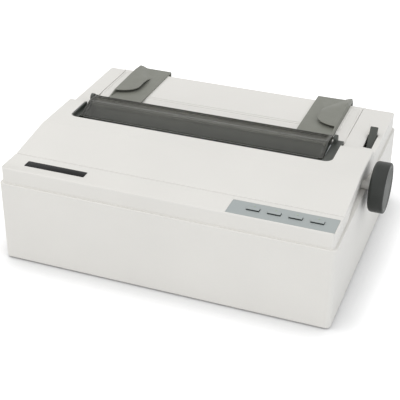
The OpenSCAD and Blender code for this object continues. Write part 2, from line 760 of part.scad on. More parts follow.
// Space under a guide's rising top and its rear ramp, lowered by drop
module wing_space(top_z, wing_y, drop) {
  rise = 2;
  translate([0, 0, -drop]) intersection() {
    along_x(-1, guide_w) polygon([
      [guide_y0, top_z - 5], [guide_y0, top_z - guide_t + 0.3], [wing_y, top_z + wing_h],
      [guide_y1 - 7, top_z + wing_h + rise], [guide_y1, top_z + rise], [guide_y1, top_z - 5]
    ]);
    under_ramp(top_z, 26.5);
    under_ramp(top_z + 2, 12);
  }
}

// One paper guide, drawn with its inner edge at x = 0 and its outer edge at x = guide_w
module guide() {
  base_z = table_z + guide_gap;
  top_z = base_z + guide_t;
  wing_y = guide_y0 + 17.5;
  wing_t = 1.2;
  side_t = 2.8;
  side_in = 1.9;
  hook = 9;
  difference() {
    union() {
      // base, from its thin front edge to the hook over the table's rear edge
      along_x(0, guide_w) polygon([
        [guide_y0, base_z], [guide_y0 + 1, top_z], [guide_y1 - 1.5, top_z], [guide_y1, top_z - 1.5],
        [guide_y1, base_z - hook], [guide_y1 - 2, base_z - hook], [guide_y1 - 2, base_z],
        [guide_y0, base_z]
      ]);
      // wing with a curved front lip, and the outer wall
      intersection() {
        translate([0, 0, base_z + 0.1]) linear_extrude(20) polygon(concat(
          [[guide_w, guide_y0], [guide_w - side_t, guide_y0], [guide_w - side_t, wing_y]], [
            for (a = [9:9:90]) [guide_w - wing_w * sin(a), wing_y + 20 * (1 - cos(a))]
          ], [[guide_w - wing_w, guide_y1], [guide_w, guide_y1]]));
        wing_space(top_z, wing_y, 0);
      }
    }
    // gap under the wing, open to the front and to the paper
    intersection() {
      block(-1, guide_w - side_t, wing_y - 1, guide_y1 + 1, top_z, top_z + 20);
      wing_space(top_z, wing_y, wing_t);
    }
    // the outer wall leans inwards
    along_y(guide_y0 - 1, guide_y1 + 1) polygon([
      [guide_w, base_z + 0.2], [guide_w - side_in, top_z + wing_h + 1.5],
      [guide_w - side_in, top_z + 20], [guide_w + 1, top_z + 20], [guide_w + 1, base_z + 0.2]
    ]);
  }
}

module guide_left() {
  in_frame() color(warm_grey) translate([guide_left_x, 0, 0]) mirror([1, 0, 0]) guide();
}

module guide_right() {
  in_frame() color(warm_grey) translate([guide_right_x, 0, 0]) guide();
}

// Openings for the push buttons and the status lights
module panel_windows() {
  half_w = button_w / 2 + button_fit;
  half_d = button_d / 2 + button_fit;
  for (i = [0:button_count - 1]) translate([button_x + i * button_pitch, button_y, 0]) {
    block(-half_w, half_w, -half_d, half_d, strip_z - 8, strip_z + 1);
    bar_z(0, light_back, strip_z - 8, strip_z + 1, light_r + 0.05);
  }
}

module panel_plate() {
  in_frame() color(panel_grey) difference() {
    translate([0, 0, strip_z - panel_t]) linear_extrude(panel_t)
      plan(panel_x0, panel_x1, panel_y0, panel_y0 + panel_d, 1.2);
    panel_windows();
  }
}

module panel_board() {
  in_frame() color(board_green) union() {
    block(panel_x0 + 2, panel_x1 - 17, panel_y0 + 3, panel_y0 + 25, panel_board_z - 1.6, panel_board_z);
    // switches under the push buttons
    for (i = [0:button_count - 1]) translate([button_x + i * button_pitch, button_y, panel_board_z])
      block(-3, 3, -3, 3, -0.2, 2.8);
  }
}

// One push button with the skirt that keeps it in the panel
module button(i) {
  half_w = button_w / 2;
  half_d = button_d / 2;
  skirt = 0.8;
  in_frame() color(panel_grey) translate([button_x + i * button_pitch, button_y, strip_z]) union() {
    along_y(-half_d, half_d) polygon(rounded(
      [[-half_w, -5.6], [half_w, -5.6], [half_w, button_up], [-half_w, button_up]], [0, 0, 0.5, 0.5], 3));
    block(-half_w - skirt, half_w + skirt, -half_d - skirt, half_d + skirt, -5.6, -wall - 0.4);
    bar_z(0, 0, button_travel - 7.6, -5, 1.5);
  }
}

module status_lights() {
  in_frame() color([0.75, 0.85, 0.7]) for (i = [0:button_count - 1])
    bar_z(button_x + i * button_pitch, button_y + light_back, strip_z - 7, strip_z + 0.2, light_r);
}

// Side frame outline with its ears, and the holes that both frames share
module frame_2d() {
  difference() {
    union() {
      polygon([
        [frame_y0, chassis_z], [frame_y0, seat_z], [96, seat_z], [platen_y - 22, platen_z + 4],
        [platen_y - 10, platen_z + 11], [platen_y + 10, platen_z + 11], [platen_y + 22, platen_z + 2],
        [smoke_pin_y - 4, platen_z + 2], [smoke_pin_y - 4, smoke_pin_z],
        [smoke_pin_y + 3.4, smoke_pin_z],
        [smoke_pin_y + 3.4, platen_z - 2], [frame_y1, tractor_z + 13], [frame_y1, tractor_z - 13],
        [193, tractor_z - 16], [193, chassis_z]
      ]);
      translate([smoke_pin_y - 0.3, smoke_pin_z]) circle(3.7, $fn = 48);
    }
    translate([platen_y, platen_z]) circle(bush_r, $fn = fine);
    translate([smoke_pin_y, smoke_pin_z]) circle(smoke_pin_r + run_fit, $fn = fine);
    translate([guide_y, guide_z]) circle(guide_r, $fn = fine);
    translate([tractor_y, tractor_z]) circle(tractor_shaft_r + run_fit, $fn = fine);
    translate([tractor_rail_y, tractor_z]) circle(rail_r, $fn = fine);
    translate([platen_y, platen_z - platen_r - 5.3]) circle(2 + run_fit, $fn = fine);
    // lightening holes
    translate([80, 36]) circle(11, $fn = 48);
    translate([128, 38]) circle(15, $fn = 48);
  }
}

module side_frame_left() {
  in_frame() color(zinc) difference() {
    union() {
      along_x(frame_x0, inner_x0) frame_2d();
      bar_x(far_x - 1, frame_x0 + 1, reduction_y, reduction_z, stud_r);
    }
    bar_x(frame_x0 - 1, inner_x0 + 1, pinion_y, pinion_z, 9);
  }
}

module side_frame_right() {
  in_frame() color(zinc) union() {
    along_x(inner_x1, frame_x1) frame_2d();
    for (s = [step_1, step_2])
      bar_x(frame_x1 - 1, right_x + gear_w + 1, platen_y + s * cos(right_angle),
        platen_z + s * sin(right_angle), stud_r);
  }
}

// Outline of the caps, which follows the notch; inset moves it inwards
module guard_plan(x0, x1, y1, inset) {
  intersection() {
    plan(open_x0 + guard_gap + inset, open_x1 - guard_gap - inset, guard_y0 + inset,
      guard_y1 + 2 * notch_r, notch_r - guard_gap - inset);
    translate([x0, 0]) square([x1 - x0, y1]);
  }
}

// Ear of a side frame that holds the smoked cover's pin, with some clearance
module ear_2d(clear) {
  translate([smoke_pin_y - 4 - clear, platen_z]) square([7.4 + 2 * clear, smoke_pin_z - platen_z]);
  translate([smoke_pin_y - 0.3, smoke_pin_z]) circle(3.7 + clear, $fn = 48);
}

// Cap over a side frame from x0 to x1, with a rim along the notch, a cheek around the frame's ear,
// and a tab for the smoked cover to rest on
module gear_guard(x0, x1, frame_a, frame_b, tab_a, tab_b) {
  under_z = guard_z - guard_t;
  frame_top = platen_z + 11;
  frame_x = (frame_a + frame_b) / 2;
  tab_x = (tab_a + tab_b) / 2;
  tab_y = smoke_y0 + 5;
  web_y0 = guard_y0 + 4.6;
  web_y1 = platen_y + 10;
  web_end = smoke_pin_y - 11;
  in_frame() color(dark_grey) difference() {
    union() {
      translate([0, 0, under_z]) linear_extrude(guard_t) guard_plan(x0, x1, guard_y1, 0);
      translate([0, 0, under_z]) linear_extrude(guard_rim_z - under_z) difference() {
        guard_plan(x0, x1, cover_end_y - 1, 0);
        guard_plan(x0 - 1, x1 + 1, cover_end_y, guard_rim);
      }
      // web that stands on the frame's top edge, and the lips beside the edge
      along_x(frame_a - guard_lip, frame_b + guard_lip) polygon([
        [web_y0, frame_top], [web_y1, frame_top], [web_end, under_z - 2], [web_end, under_z + 0.3],
        [web_y0, under_z + 0.3]
      ]);
      for (e = [[frame_a - guard_lip, frame_a - run_fit], [frame_b + run_fit, frame_b + guard_lip]])
        block(e[0], e[1], web_y0, web_y1, frame_top - 1.6, frame_top + 1);
      along_x(frame_a - guard_lip, frame_b + guard_lip) intersection() {
        ear_2d(1);
        translate([0, under_z]) square([2 * body_d, 20]);
      }
      block(tab_a, tab_b, tab_y, tab_y + 6, smoke_rest_z - run_fit - 1.3, smoke_rest_z - run_fit);
    }
    // the ear and its pin
    along_x(frame_a - run_fit, frame_b + run_fit) ear_2d(run_fit);
    bar_x(min(frame_x, tab_x), max(frame_x, tab_x), smoke_pin_y, smoke_pin_z, smoke_pin_r + 0.3);
  }
}

module gear_guard_left() {
  gear_guard(open_x0, smoke_x0 - 0.6, frame_x0, inner_x0, smoke_x0 - 1.6, smoke_x0 + 1);
}

module gear_guard_right() {
  gear_guard(smoke_x1 + 0.8, open_x1, inner_x1, frame_x1, smoke_x1 - 1, smoke_x1 + 1.6);
}

module chassis_plate() {
  in_frame() color(zinc) difference() {
    union() {
      block(inner_x0, inner_x1, 64, 192, chassis_z, chassis_z + 2);
      block(inner_x0, inner_x1, 190, 192, chassis_z, chassis_z + 12);
      // post of the idler pulley
      bar_z(pulley_x1, pulley_y, chassis_z, belt_z - belt_w / 2 - 1.9, 6);
      bar_z(pulley_x1, pulley_y, chassis_z, belt_z + belt_w / 2 + 3, pulley_post_r);
    }
    for (x = [inner_x0 + 70:60:inner_x1 - 60]) translate([0, 0, chassis_z - 1]) linear_extrude(4)
      plan(x - 18, x + 18, 100, 170, 8);
    for (x = [inner_x0 + 12, inner_x1 - 12], y = [72, 180]) bar_z(x, y, chassis_z - 1, chassis_z + 3, 1.8);
  }
}

module carriage_rail() {
  rail_y = guide_y - 34;
  in_frame() color(zinc) difference() {
    union() {
      block(inner_x0, inner_x1, rail_y, rail_y + 1.6, chassis_z + 2, guide_z + 8);
      block(inner_x0, inner_x1, rail_y, rail_y + 12, chassis_z + 2, chassis_z + 3.6);
    }
    for (x = [inner_x0 + 40:60:inner_x1 - 30])
      translate([x, rail_y - 1, guide_z - 34]) rotate([-90, 0, 0]) cylinder(r = 12, h = 4, $fn = 48);
  }
}

// Curved sheet of the paper pan, kept inside the given outline
module pan_arc(x0, x1, outline) {
  inner = platen_r + 1.5;
  along_x(x0, x1) intersection() {
    difference() {
      translate([platen_y, platen_z]) circle(inner + 1.2, $fn = fine);
      translate([platen_y, platen_z]) circle(inner, $fn = fine);
    }
    translate([platen_y, platen_z]) polygon(outline);
  }
}

module paper_pan() {
  inner = platen_r + 1.5;
  outer = inner + 1.2;
  chute_y = table_y - 3;
  in_frame() color(zinc) difference() {
    union() {
      pan_arc(roller_x0, roller_x1, [[0, 0], [-40, -16], [-40, -40], [40, -40], [40, 0]]);
      // ears that reach the side frames
      pan_arc(inner_x0, roller_x0 + 1, [[0, 0], [10, -40], [40, -40], [40, -12]]);
      pan_arc(roller_x1 - 1, inner_x1, [[0, 0], [10, -40], [40, -40], [40, -12]]);
      // chute up to the table
      along_x(roller_x0, roller_x1) polygon([
        [platen_y + inner, platen_z - 0.5], [platen_y + outer, platen_z - 0.5],
        [platen_y + outer + 0.8, platen_z + 0.6], [chute_y, deck_z - 7.2], [chute_y, deck_z - 5.8],
        [platen_y + inner, platen_z + 1.2]
      ]);
    }
    for (x = pinch_xs)
      block(x - 11, x + 11, platen_y - 9, platen_y + 9, platen_z - outer - 2, platen_z - 10);
  }
}

module platen_shaft() {
  in_frame() color(steel) bar_x(near_x - 1, knob_x0 + 10, platen_y, platen_z, shaft_r);
}

module platen_roller() {
  in_frame() color(black) difference() {
    bar_x(roller_x0, roller_x1, platen_y, platen_z, platen_r);
    bar_x(roller_x0 - 1, roller_x1 + 1, platen_y, platen_z, shaft_r);
  }
}

module platen_bushes() {
  in_frame() color(acetal) for (side = [[frame_x0, 1], [frame_x1, -1]]) difference() {
    union() {
      translate([side[0], platen_y, platen_z]) rotate([0, side[1] * 90, 0]) {
        cylinder(r = bush_r, h = plate_t, $fn = fine);
        translate([0, 0, plate_t]) cylinder(r = bush_r + 2, h = 1.5, $fn = fine);
      }
    }
    bar_x(side[0] - 6, side[0] + 6, platen_y, platen_z, shaft_r + run_fit);
  }
}

module platen_knob() {
  in_frame() color(dark_grey) translate([knob_x0, platen_y, platen_z]) rotate([0, 90, 0]) difference() {
    rotate_extrude($fn = 128) polygon(concat(
      [[0, 0]], corner([0, 0], [knob_r, 0], [knob_r, knob_t], knob_round, 6),
      corner([knob_r, 0], [knob_r, knob_t], [0, knob_t], 1.6, 4),
      [[knob_r - 4, knob_t], [knob_r - 5, knob_t - 0.8], [0, knob_t - 0.8]]));
    translate([0, 0, -1]) cylinder(r = shaft_r, h = 11, $fn = fine);
  }
}

module platen_gear() {
  in_frame() color(acetal) gear(near_x, platen_y, platen_z, platen_teeth, left_angle, shaft_r);
}

// Compound gear: the large wheel takes the pinion, the small one drives the platen gear
module reduction_gear() {
  in_frame() color(acetal) difference() {
    union() {
      gear(near_x, reduction_y, reduction_z, small_teeth, left_angle + 180 + 180 / small_teeth,
        stud_r + run_fit);
      bar_x(far_x + gear_w - 0.1, near_x + 0.1, reduction_y, reduction_z,
        gear_m * small_teeth / 2 - 1.4 * gear_m);
      gear(far_x, reduction_y, reduction_z, big_teeth, left_angle, stud_r + run_fit);
    }
    bar_x(far_x - 1, near_x + gear_w + 1, reduction_y, reduction_z, stud_r + run_fit);
  }
}

module feed_pinion() {
  in_frame() color(steel) gear(far_x, pinion_y, pinion_z, pinion_teeth, left_angle + 180 + 180 / pinion_teeth,
    pinion_shaft_r + run_fit);
}

module feed_motor() {
  in_frame() color(black) union() {
    bar_x(inner_x0, inner_x0 + 2, pinion_y, pinion_z, 21);
    bar_x(inner_x0 + 1, inner_x0 + 24, pinion_y, pinion_z, 20);
    bar_x(inner_x0 + 23, inner_x0 + 28, pinion_y, pinion_z, 9);
    bar_x(frame_x0 - 1, inner_x0 + 1, pinion_y, pinion_z, 8);
    bar_x(far_x - 1, frame_x0, pinion_y, pinion_z, pinion_shaft_r);
  }
}

pinch_xs = [for (i = [0:3]) roller_x0 + (roller_x1 - roller_x0) * (i + 0.5) / 4];

module pinch_rollers() {
  z = platen_z - platen_r - 5.3;
  in_frame() color(black) union() {
    bar_x(frame_x0, frame_x1, platen_y, z, 2);
    for (x = pinch_xs) bar_x(x - 9, x + 9, platen_y, z, 5);
  }
}

// Angles that put the right-hand train in mesh
drive_phase = right_angle;
idler_phase = right_angle + 180 + 180 / idler_teeth;

module drive_gear() {
  in_frame() color(acetal) gear(right_x, platen_y, platen_z, drive_teeth, drive_phase, shaft_r);
}

module idler_gear_front() {
  in_frame() color(acetal)
    gear(right_x, platen_y + step_1 * cos(right_angle), platen_z + step_1 * sin(right_angle),
      idler_teeth, idler_phase, stud_r + run_fit);
}

module idler_gear_rear() {
  // the front idler shows this gear either a tooth or a gap, so the phase follows from its tooth count
  facing = (180 - 180 / idler_teeth) / (360 / idler_teeth);
  in_frame() color(acetal)
    gear(right_x, platen_y + step_2 * cos(right_angle), platen_z + step_2 * sin(right_angle), idler_teeth,
      right_angle + 180 + 360 / idler_teeth * (0.5 + facing), stud_r + run_fit);
}

module tractor_gear() {
  facing_front = (180 - 180 / idler_teeth) / (360 / idler_teeth);
  facing_rear = (180 - 360 / idler_teeth * (0.5 + facing_front)) / (360 / idler_teeth);
  in_frame() color(acetal)
    gear(right_x, tractor_y, tractor_z, tractor_teeth,
      right_angle + 180 + 360 / tractor_teeth * (0.5 + facing_rear), tractor_shaft_r);
}

module tractor_shaft() {
  in_frame() color(steel) bar_x(frame_x0 - 2, right_x + gear_w + 1, tractor_y, tractor_z, tractor_shaft_r);
}

module tractor_rail() {
  in_frame() color(steel) bar_x(frame_x0, frame_x1, tractor_rail_y, tractor_z, rail_r);
}

// One tractor, with its outer side at x = 0 and its belt pins on top
module tractor() {
  nose_y = tractor_rail_y;
  pin_pitch = 12.7;
  difference() {
    union() {
      for (x = [0, tractor_w - 5]) along_x(x, x + 5) polygon(rounded(
        [[nose_y - 12, tractor_z - 12], [tractor_y + 12, tractor_z - 12],
          [tractor_y + 12, tractor_z + 9], [nose_y - 12, tractor_z + 9]],
        [4, 6, 3, 3]));
      // pin belt
      along_x(4, tractor_w - 4) {
        translate([tractor_y, tractor_z]) circle(belt_r + 1, $fn = fine);
        translate([nose_y, tractor_z]) circle(belt_r + 1, $fn = fine);
        translate([nose_y, tractor_z - belt_r - 1]) square([tractor_y - nose_y, 2 * belt_r + 2]);
      }
      for (i = [-0.5:1:1.5])
        bar_z(tractor_w / 2, nose_y + i * pin_pitch + 4, tractor_z + belt_r, tractor_z + belt_r + 3.2, 1.8);
      // lugs for the flap hinge
      for (y = [nose_y - 8, tractor_y + 4]) block(0, 3, y, y + 4, tractor_z + 8, tractor_z + 15.4);
    }
    bar_x(-1, tractor_w + 1, tractor_y, tractor_z, tractor_shaft_r + run_fit);
    bar_x(-1, tractor_w + 1, nose_y, tractor_z, rail_r + run_fit);
    translate([1.6, 0, tractor_z + 13.6]) rotate([-90, 0, 0])
      cylinder(r = 1 + run_fit, h = body_d, $fn = fine);
  }
}

// The flap that holds paper down on one tractor's pins
module tractor_flap() {
  nose_y = tractor_rail_y;
  difference() {
    union() {
      block(0.6, tractor_w, nose_y - 3.4, tractor_y + 3.4, tractor_z + 12.6, tractor_z + 14.6);
      translate([1.6, nose_y - 7, tractor_z + 13.6]) rotate([-90, 0, 0])
        cylinder(r = 1, h = tractor_y - nose_y + 14, $fn = fine);
    }
    for (i = [-0.5:1:1.5]) bar_z(tractor_w / 2, nose_y + i * 12.7 + 4, tractor_z, tractor_z + 20, 3);
  }
}

tractor_left_x = inner_x0 + 26;
tractor_right_x = inner_x1 - 26;

module tractor_left() {
  in_frame() color(dark_grey) translate([tractor_left_x, 0, 0]) tractor();
}

module tractor_right() {
  in_frame() color(dark_grey) translate([tractor_right_x, 0, 0]) mirror([1, 0, 0]) tractor();
}

module tractor_flap_left() {
  in_frame() color(warm_grey) translate([tractor_left_x, 0, 0]) tractor_flap();
}

module tractor_flap_right() {
  in_frame() color(warm_grey) translate([tractor_right_x, 0, 0]) mirror([1, 0, 0]) tractor_flap();
}

module guide_shaft() {
  in_frame() color(steel) bar_x(frame_x0, frame_x1, guide_y, guide_z, guide_r);
}

module carriage() {
  rail_y = guide_y - 34;
  x0 = home_x - carriage_w / 2;
  x1 = home_x + carriage_w / 2;
  run_y = pulley_y - pulley_r - belt_t / 2;
  in_frame() color(dark_grey) difference() {
    union() {
      along_x(x0, x1) polygon(rounded(
        [[guide_y - 20, guide_z - 10], [guide_y + 12, guide_z - 10], [guide_y + 17, guide_z + 2],
          [guide_y + 17, guide_z + 14], [guide_y - 20, guide_z + 14]],
        [3, 4, 4, 2, 3]));
      // arm to the front rail, with a lug on each side of it
      block(x0 + 8, x1 - 8, rail_y - 4, guide_y - 19, guide_z + 9, guide_z + 14);
      block(x0 + 8, x1 - 8, rail_y - 4, rail_y - 0.5, guide_z + 2, guide_z + 12);
      block(x0 + 8, x1 - 8, rail_y + 2.1, rail_y + 5, guide_z + 2, guide_z + 12);
      // jaws on the belt's front run
      block(home_x - 10, home_x + 10, run_y - 3, run_y - 1.1, belt_z - belt_w / 2, guide_z + 2);
      block(home_x - 10, home_x + 10, run_y + 1.1, run_y + 3, belt_z - belt_w / 2, guide_z + 2);
      block(home_x - 10, home_x + 10, run_y - 3, run_y + 6, belt_z + belt_w / 2 + 1, guide_z + 2);
      // side cheeks that hold the head
      for (x = [x0, x1 - 3]) block(x, x + 3, guide_y - 16, guide_y + 16, guide_z + 12, guide_z + 26);
    }
    bar_x(x0 - 1, x1 + 1, guide_y, guide_z, guide_r + run_fit);
  }
}

// Print head: a ring of cooling fins around the coil block, and the needle nose
module print_head() {
  base_z = guide_z + 14;
  nose_z = platen_z;
  in_frame() color(zinc) union() {
    block(home_x - head_w / 2, home_x + head_w / 2, guide_y - 15, guide_y + 10, base_z, base_z + 3);
    translate([home_x, guide_y - 15, base_z + 16]) rotate([-90, 0, 0])
      cylinder(r = 11.5, h = 24, $fn = fine);
    for (i = [0:6]) translate([0, guide_y - 15 + i * 3.4, 0]) rotate([90, 0, 0])
      translate([0, 0, -1.2]) linear_extrude(1.2) plan(home_x - 16, home_x + 16, base_z + 1, base_z + 31, 5);
    // nose with its flat needle face
    along_x(home_x - 5, home_x + 5) polygon([
      [guide_y + 8, nose_z - 12], [ribbon_y - 0.4, nose_z - 5], [ribbon_y - 0.4, nose_z + 5],
      [guide_y + 8, nose_z + 9]
    ]);
  }
}

module timing_belt() {
  outer = pulley_r + belt_t;
  in_frame() color(black) translate([0, 0, belt_z - belt_w / 2]) linear_extrude(belt_w) difference() {
    union() {
      translate([pulley_x0, pulley_y]) circle(outer, $fn = fine);
      translate([pulley_x1, pulley_y]) circle(outer, $fn = fine);
      translate([pulley_x0, pulley_y - outer]) square([pulley_x1 - pulley_x0, 2 * outer]);
    }
    translate([pulley_x0, pulley_y]) circle(pulley_r + run_fit, $fn = fine);
    translate([pulley_x1, pulley_y]) circle(pulley_r + run_fit, $fn = fine);
    translate([pulley_x0, pulley_y - pulley_r - run_fit])
      square([pulley_x1 - pulley_x0, 2 * pulley_r + 2 * run_fit]);
  }
}

module carriage_motor() {
  top = belt_z - belt_w / 2 - 3;
  in_frame() color(black) union() {
    bar_z(pulley_x0, pulley_y, chassis_z + 3.7, top, motor_r * 0.85);
    bar_z(pulley_x0, pulley_y, top - 0.5, top + 1.2, 6);
    bar_z(pulley_x0, pulley_y, top, belt_z + belt_w / 2 + 2, pulley_post_r);
    bar_z(pulley_x0, pulley_y, chassis_z + 2, chassis_z + 4, 10);
  }
}

// A flanged pulley on its motor shaft or post
module pulley(x) {
  low = belt_z - belt_w / 2;
  difference() {
    union() {
      bar_z(x, pulley_y, low - 0.8, low + belt_w + 0.8, pulley_r);
      bar_z(x, pulley_y, low - 1.6, low - 0.3, pulley_r + 2.2);
      bar_z(x, pulley_y, low + belt_w + 0.3, low + belt_w + 1.6, pulley_r + 2.2);
    }
    bar_z(x, pulley_y, low - 5, low + belt_w + 5, pulley_post_r + run_fit);
  }
}

module drive_pulley() {
  in_frame() color(steel) pulley(pulley_x0);
}

module idler_pulley() {
  in_frame() color(acetal) pulley(pulley_x1);
}

module ribbon_cartridge() {
  y0 = frame_y0 - 8;
  y1 = ribbon_y - 42;
  arm_in0 = inner_x0 + 18;
  arm_in1 = inner_x1 - 18;
  top = seat_z + 16;
  in_frame() color(black) difference() {
    union() {
      along_y(y0, y1) polygon(rounded(
        [[inner_x0 + 1.5, seat_z], [inner_x1 - 1.5, seat_z], [inner_x1 - 1.5, top], [inner_x0 + 1.5, top]],
        [1, 1, 3, 3]));
      // arms that bring the ribbon to the platen
      for (a = [[inner_x0 + 2.5, arm_in0], [arm_in1, inner_x1 - 2.5]])
        along_x(a[0], a[1]) polygon(rounded(
          [[y1 - 4, seat_z + 1], [ribbon_y + 0.3, seat_z + 1], [ribbon_y + 0.3, seat_z + 13],
            [y1 - 4, top - 1]],
          [0, 1, 2, 0]));
      // lugs that rest on the side frames
      for (a = [[frame_x0 - 3, inner_x0 + 4], [inner_x1 - 4, frame_x1 + 3]])
        block(a[0], a[1], y0 + 12, y0 + 24, seat_z, seat_z + 3);
    }
    // seat of the ribbon knob
    bar_z(inner_x0 + 30, y0 + 14, top - 3, top + 1, 9);
    bar_z(inner_x0 + 30, y0 + 14, seat_z + 2, top + 1, 2 + run_fit);
  }
}

module ribbon_strip() {
  in_frame() color(black)
    block(inner_x0 + 18, inner_x1 - 18, ribbon_y, ribbon_y + 0.3, seat_z + 1.5, seat_z + 13.5);
}

module ribbon_knob() {
  y0 = frame_y0 - 8;
  top = seat_z + 16;
  in_frame() color(warm_grey) translate([inner_x0 + 30, y0 + 14, 0]) union() {
    translate([0, 0, top - 2.6]) linear_extrude(4) difference() {
      circle(8, $fn = fine);
      for (a = [0:30:330]) rotate(a) translate([8.4, 0]) circle(1.1, $fn = 24);
    }
    translate([0, 0, seat_z + 2.4]) cylinder(r = 2, h = 13, $fn = fine);
  }
}

module release_lever() {
  tab_z = 12;
  in_frame() color(dark_grey) translate([lever_x, lever_pivot_y, lever_pivot_z])
    rotate([-lever_tilt, 0, 0]) difference() {
      union() {
        // stem, then the wide finger tab with its curved back
        along_x(0, lever_stem_w) {
          circle(lever_stem_r, $fn = 48);
          translate([-1, 0]) square([lever_stem_r, tab_z + 1]);
        }
        along_x(0, lever_w) polygon(rounded([
          [-1, tab_z], [lever_stem_r - 1, tab_z], [lever_back, lever_len - 8], [2.4, lever_len + 0.8],
          [-0.2, lever_len]
        ], [0, 1, 5, 1.2, 0.8]));
      }
      bar_x(-1, lever_stem_w + 1, 0, 0, lever_stud_r + run_fit);
    }
}

board_x0 = -85;
board_x1 = 150;
board_y0 = body_d - 108;
board_y1 = body_d - 8;
board_z = 14;

module main_board() {
  in_frame() color(board_green) union() {
    difference() {
      block(board_x0, board_x1, board_y0, board_y1, board_z, board_z + 1.6);
      for (x = [board_x0 + 8, board_x1 - 8], y = [board_y0 + 8, board_y1 - 8])
        bar_z(x, y, board_z - 1, board_z + 3, 1.6);
    }
    // long and square chip packages
    for (x = [-60:34:42]) block(x, x + 14, board_y0 + 30, board_y0 + 76, board_z + 1.5, board_z + 5);
    for (x = [84:20:124]) block(x, x + 14, board_y0 + 20, board_y0 + 34, board_z + 1.5, board_z + 4);
    // finned heat sink of the drivers
    block(-80, -66, board_y0 + 8, board_y0 + 62, board_z + 1.5, board_z + 24);
    for (i = [0:4])
      block(-84 + i * 4.5, -82.6 + i * 4.5, board_y0 + 8, board_y0 + 62, board_z + 1.6, board_z + 30);
  }
}

// Mains transformer: core stack, winding and mounting feet
module transformer() {
  x = case_x0 + 52;
  y = body_d - 66;
  in_frame() color([0.35, 0.34, 0.32]) union() {
    difference() {
      block(x - 30, x + 30, y - 16, y + 16, floor_z, floor_z + 50);
      block(x - 20, x - 10, y - 17, y + 17, floor_z + 10, floor_z + 40);
      block(x + 10, x + 20, y - 17, y + 17, floor_z + 10, floor_z + 40);
    }
    // winding
    along_y(y - 25, y + 25) plan(x - 19.5, x + 19.5, floor_z + 10.5, floor_z + 39.5, 3);
    for (s = [-1, 1]) block(x + s * 30 - 6, x + s * 30 + 6, y - 10, y + 10, floor_z, floor_z + 2.5);
  }
}

// Appliance inlet with three blade pins
module power_inlet() {
  y1 = body_d;
  in_frame() color(black) union() {
    difference() {
      union() {
        block(inlet_x - 13.8, inlet_x + 13.8, y1 - 22, y1, inlet_z - 10.8, inlet_z + 10.8);
        block(inlet_x - 16, inlet_x + 16, y1, y1 + 1.6, inlet_z - 13, inlet_z + 13);
      }
      translate([inlet_x, 0, inlet_z]) along_y(y1 - 16, y1 + 3)
        polygon([[-11.5, -7.5], [11.5, -7.5], [11.5, 3], [7, 7.5], [-7, 7.5], [-11.5, 3]]);
    }
    // blade pins
    for (p = [[-7, -2], [0, 2], [7, -2]]) translate([inlet_x + p[0], y1, inlet_z + p[1]])
      block(-1, 1, -17, -2, -2, 2);
  }
}

// Rocker that tips about its pins behind the rear wall, stored with its lower half out
module power_switch() {
  in_frame() color(black) translate([0, rocker_y, inlet_z]) rotate([-rocker_tilt, 0, 0]) union() {
    along_x(switch_x - 6.5, switch_x + 6.5)
      polygon([[-3, -9.4], [7.2, -9.4], [5, 0], [7.2, 9.4], [-3, 9.4]]);
    bar_x(switch_x - 9, switch_x + 9, 0, 0, rocker_pin_r);
  }
}

// Parallel interface socket: metal shell around a contact tongue
module interface_connector() {
  y1 = body_d;
  in_frame() color(steel) union() {
    translate([socket_x, 0, socket_z]) difference() {
      along_y(y1 - 9, y1 + 5) polygon([[-26, 6], [26, 6], [24, -6], [-24, -6]]);
      along_y(y1 - 6, y1 + 6) polygon([[-25, 5], [25, 5], [23, -5], [-23, -5]]);
    }
    block(socket_x - 22, socket_x + 22, y1 - 7, y1 + 4, socket_z - 2, socket_z + 2);
    block(socket_x - 29.5, socket_x + 29.5, y1 - 9, y1 - wall, socket_z - 7.5, socket_z + 7.5);
    block(socket_x - 24, socket_x + 24, y1 - 20, y1 - 8, board_z + 1.6, socket_z + 6);
  }
}

lower_case();
feet();
case_screws();
upper_case();
front_cover();
smoked_cover();
paper_table();
guide_left();
guide_right();
gear_guard_left();
gear_guard_right();
panel_plate();
panel_board();
button(0);  // button_1
button(1);  // button_2
button(2);  // button_3
button(3);  // button_4
status_lights();
side_frame_left();
side_frame_right();
chassis_plate();
carriage_rail();
paper_pan();
platen_shaft();
platen_roller();
platen_bushes();
platen_knob();
platen_gear();
reduction_gear();
feed_motor();
feed_pinion();
pinch_rollers();
drive_gear();
idler_gear_front();
idler_gear_rear();
tractor_gear();
tractor_shaft();
tractor_rail();
tractor_left();
tractor_right();
tractor_flap_left();
tractor_flap_right();
guide_shaft();
carriage();
print_head();
timing_belt();
carriage_motor();
drive_pulley();
idler_pulley();
ribbon_cartridge();
ribbon_strip();
ribbon_knob();
release_lever();
main_board();
transformer();
power_inlet();
power_switch();
interface_connector();
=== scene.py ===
"""Looks of a flatbed dot matrix printer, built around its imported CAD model. Units are metres."""
import json
import math

import bmesh
import bpy
from mathutils import Matrix, Vector
from mathutils.bvhtree import BVHTree

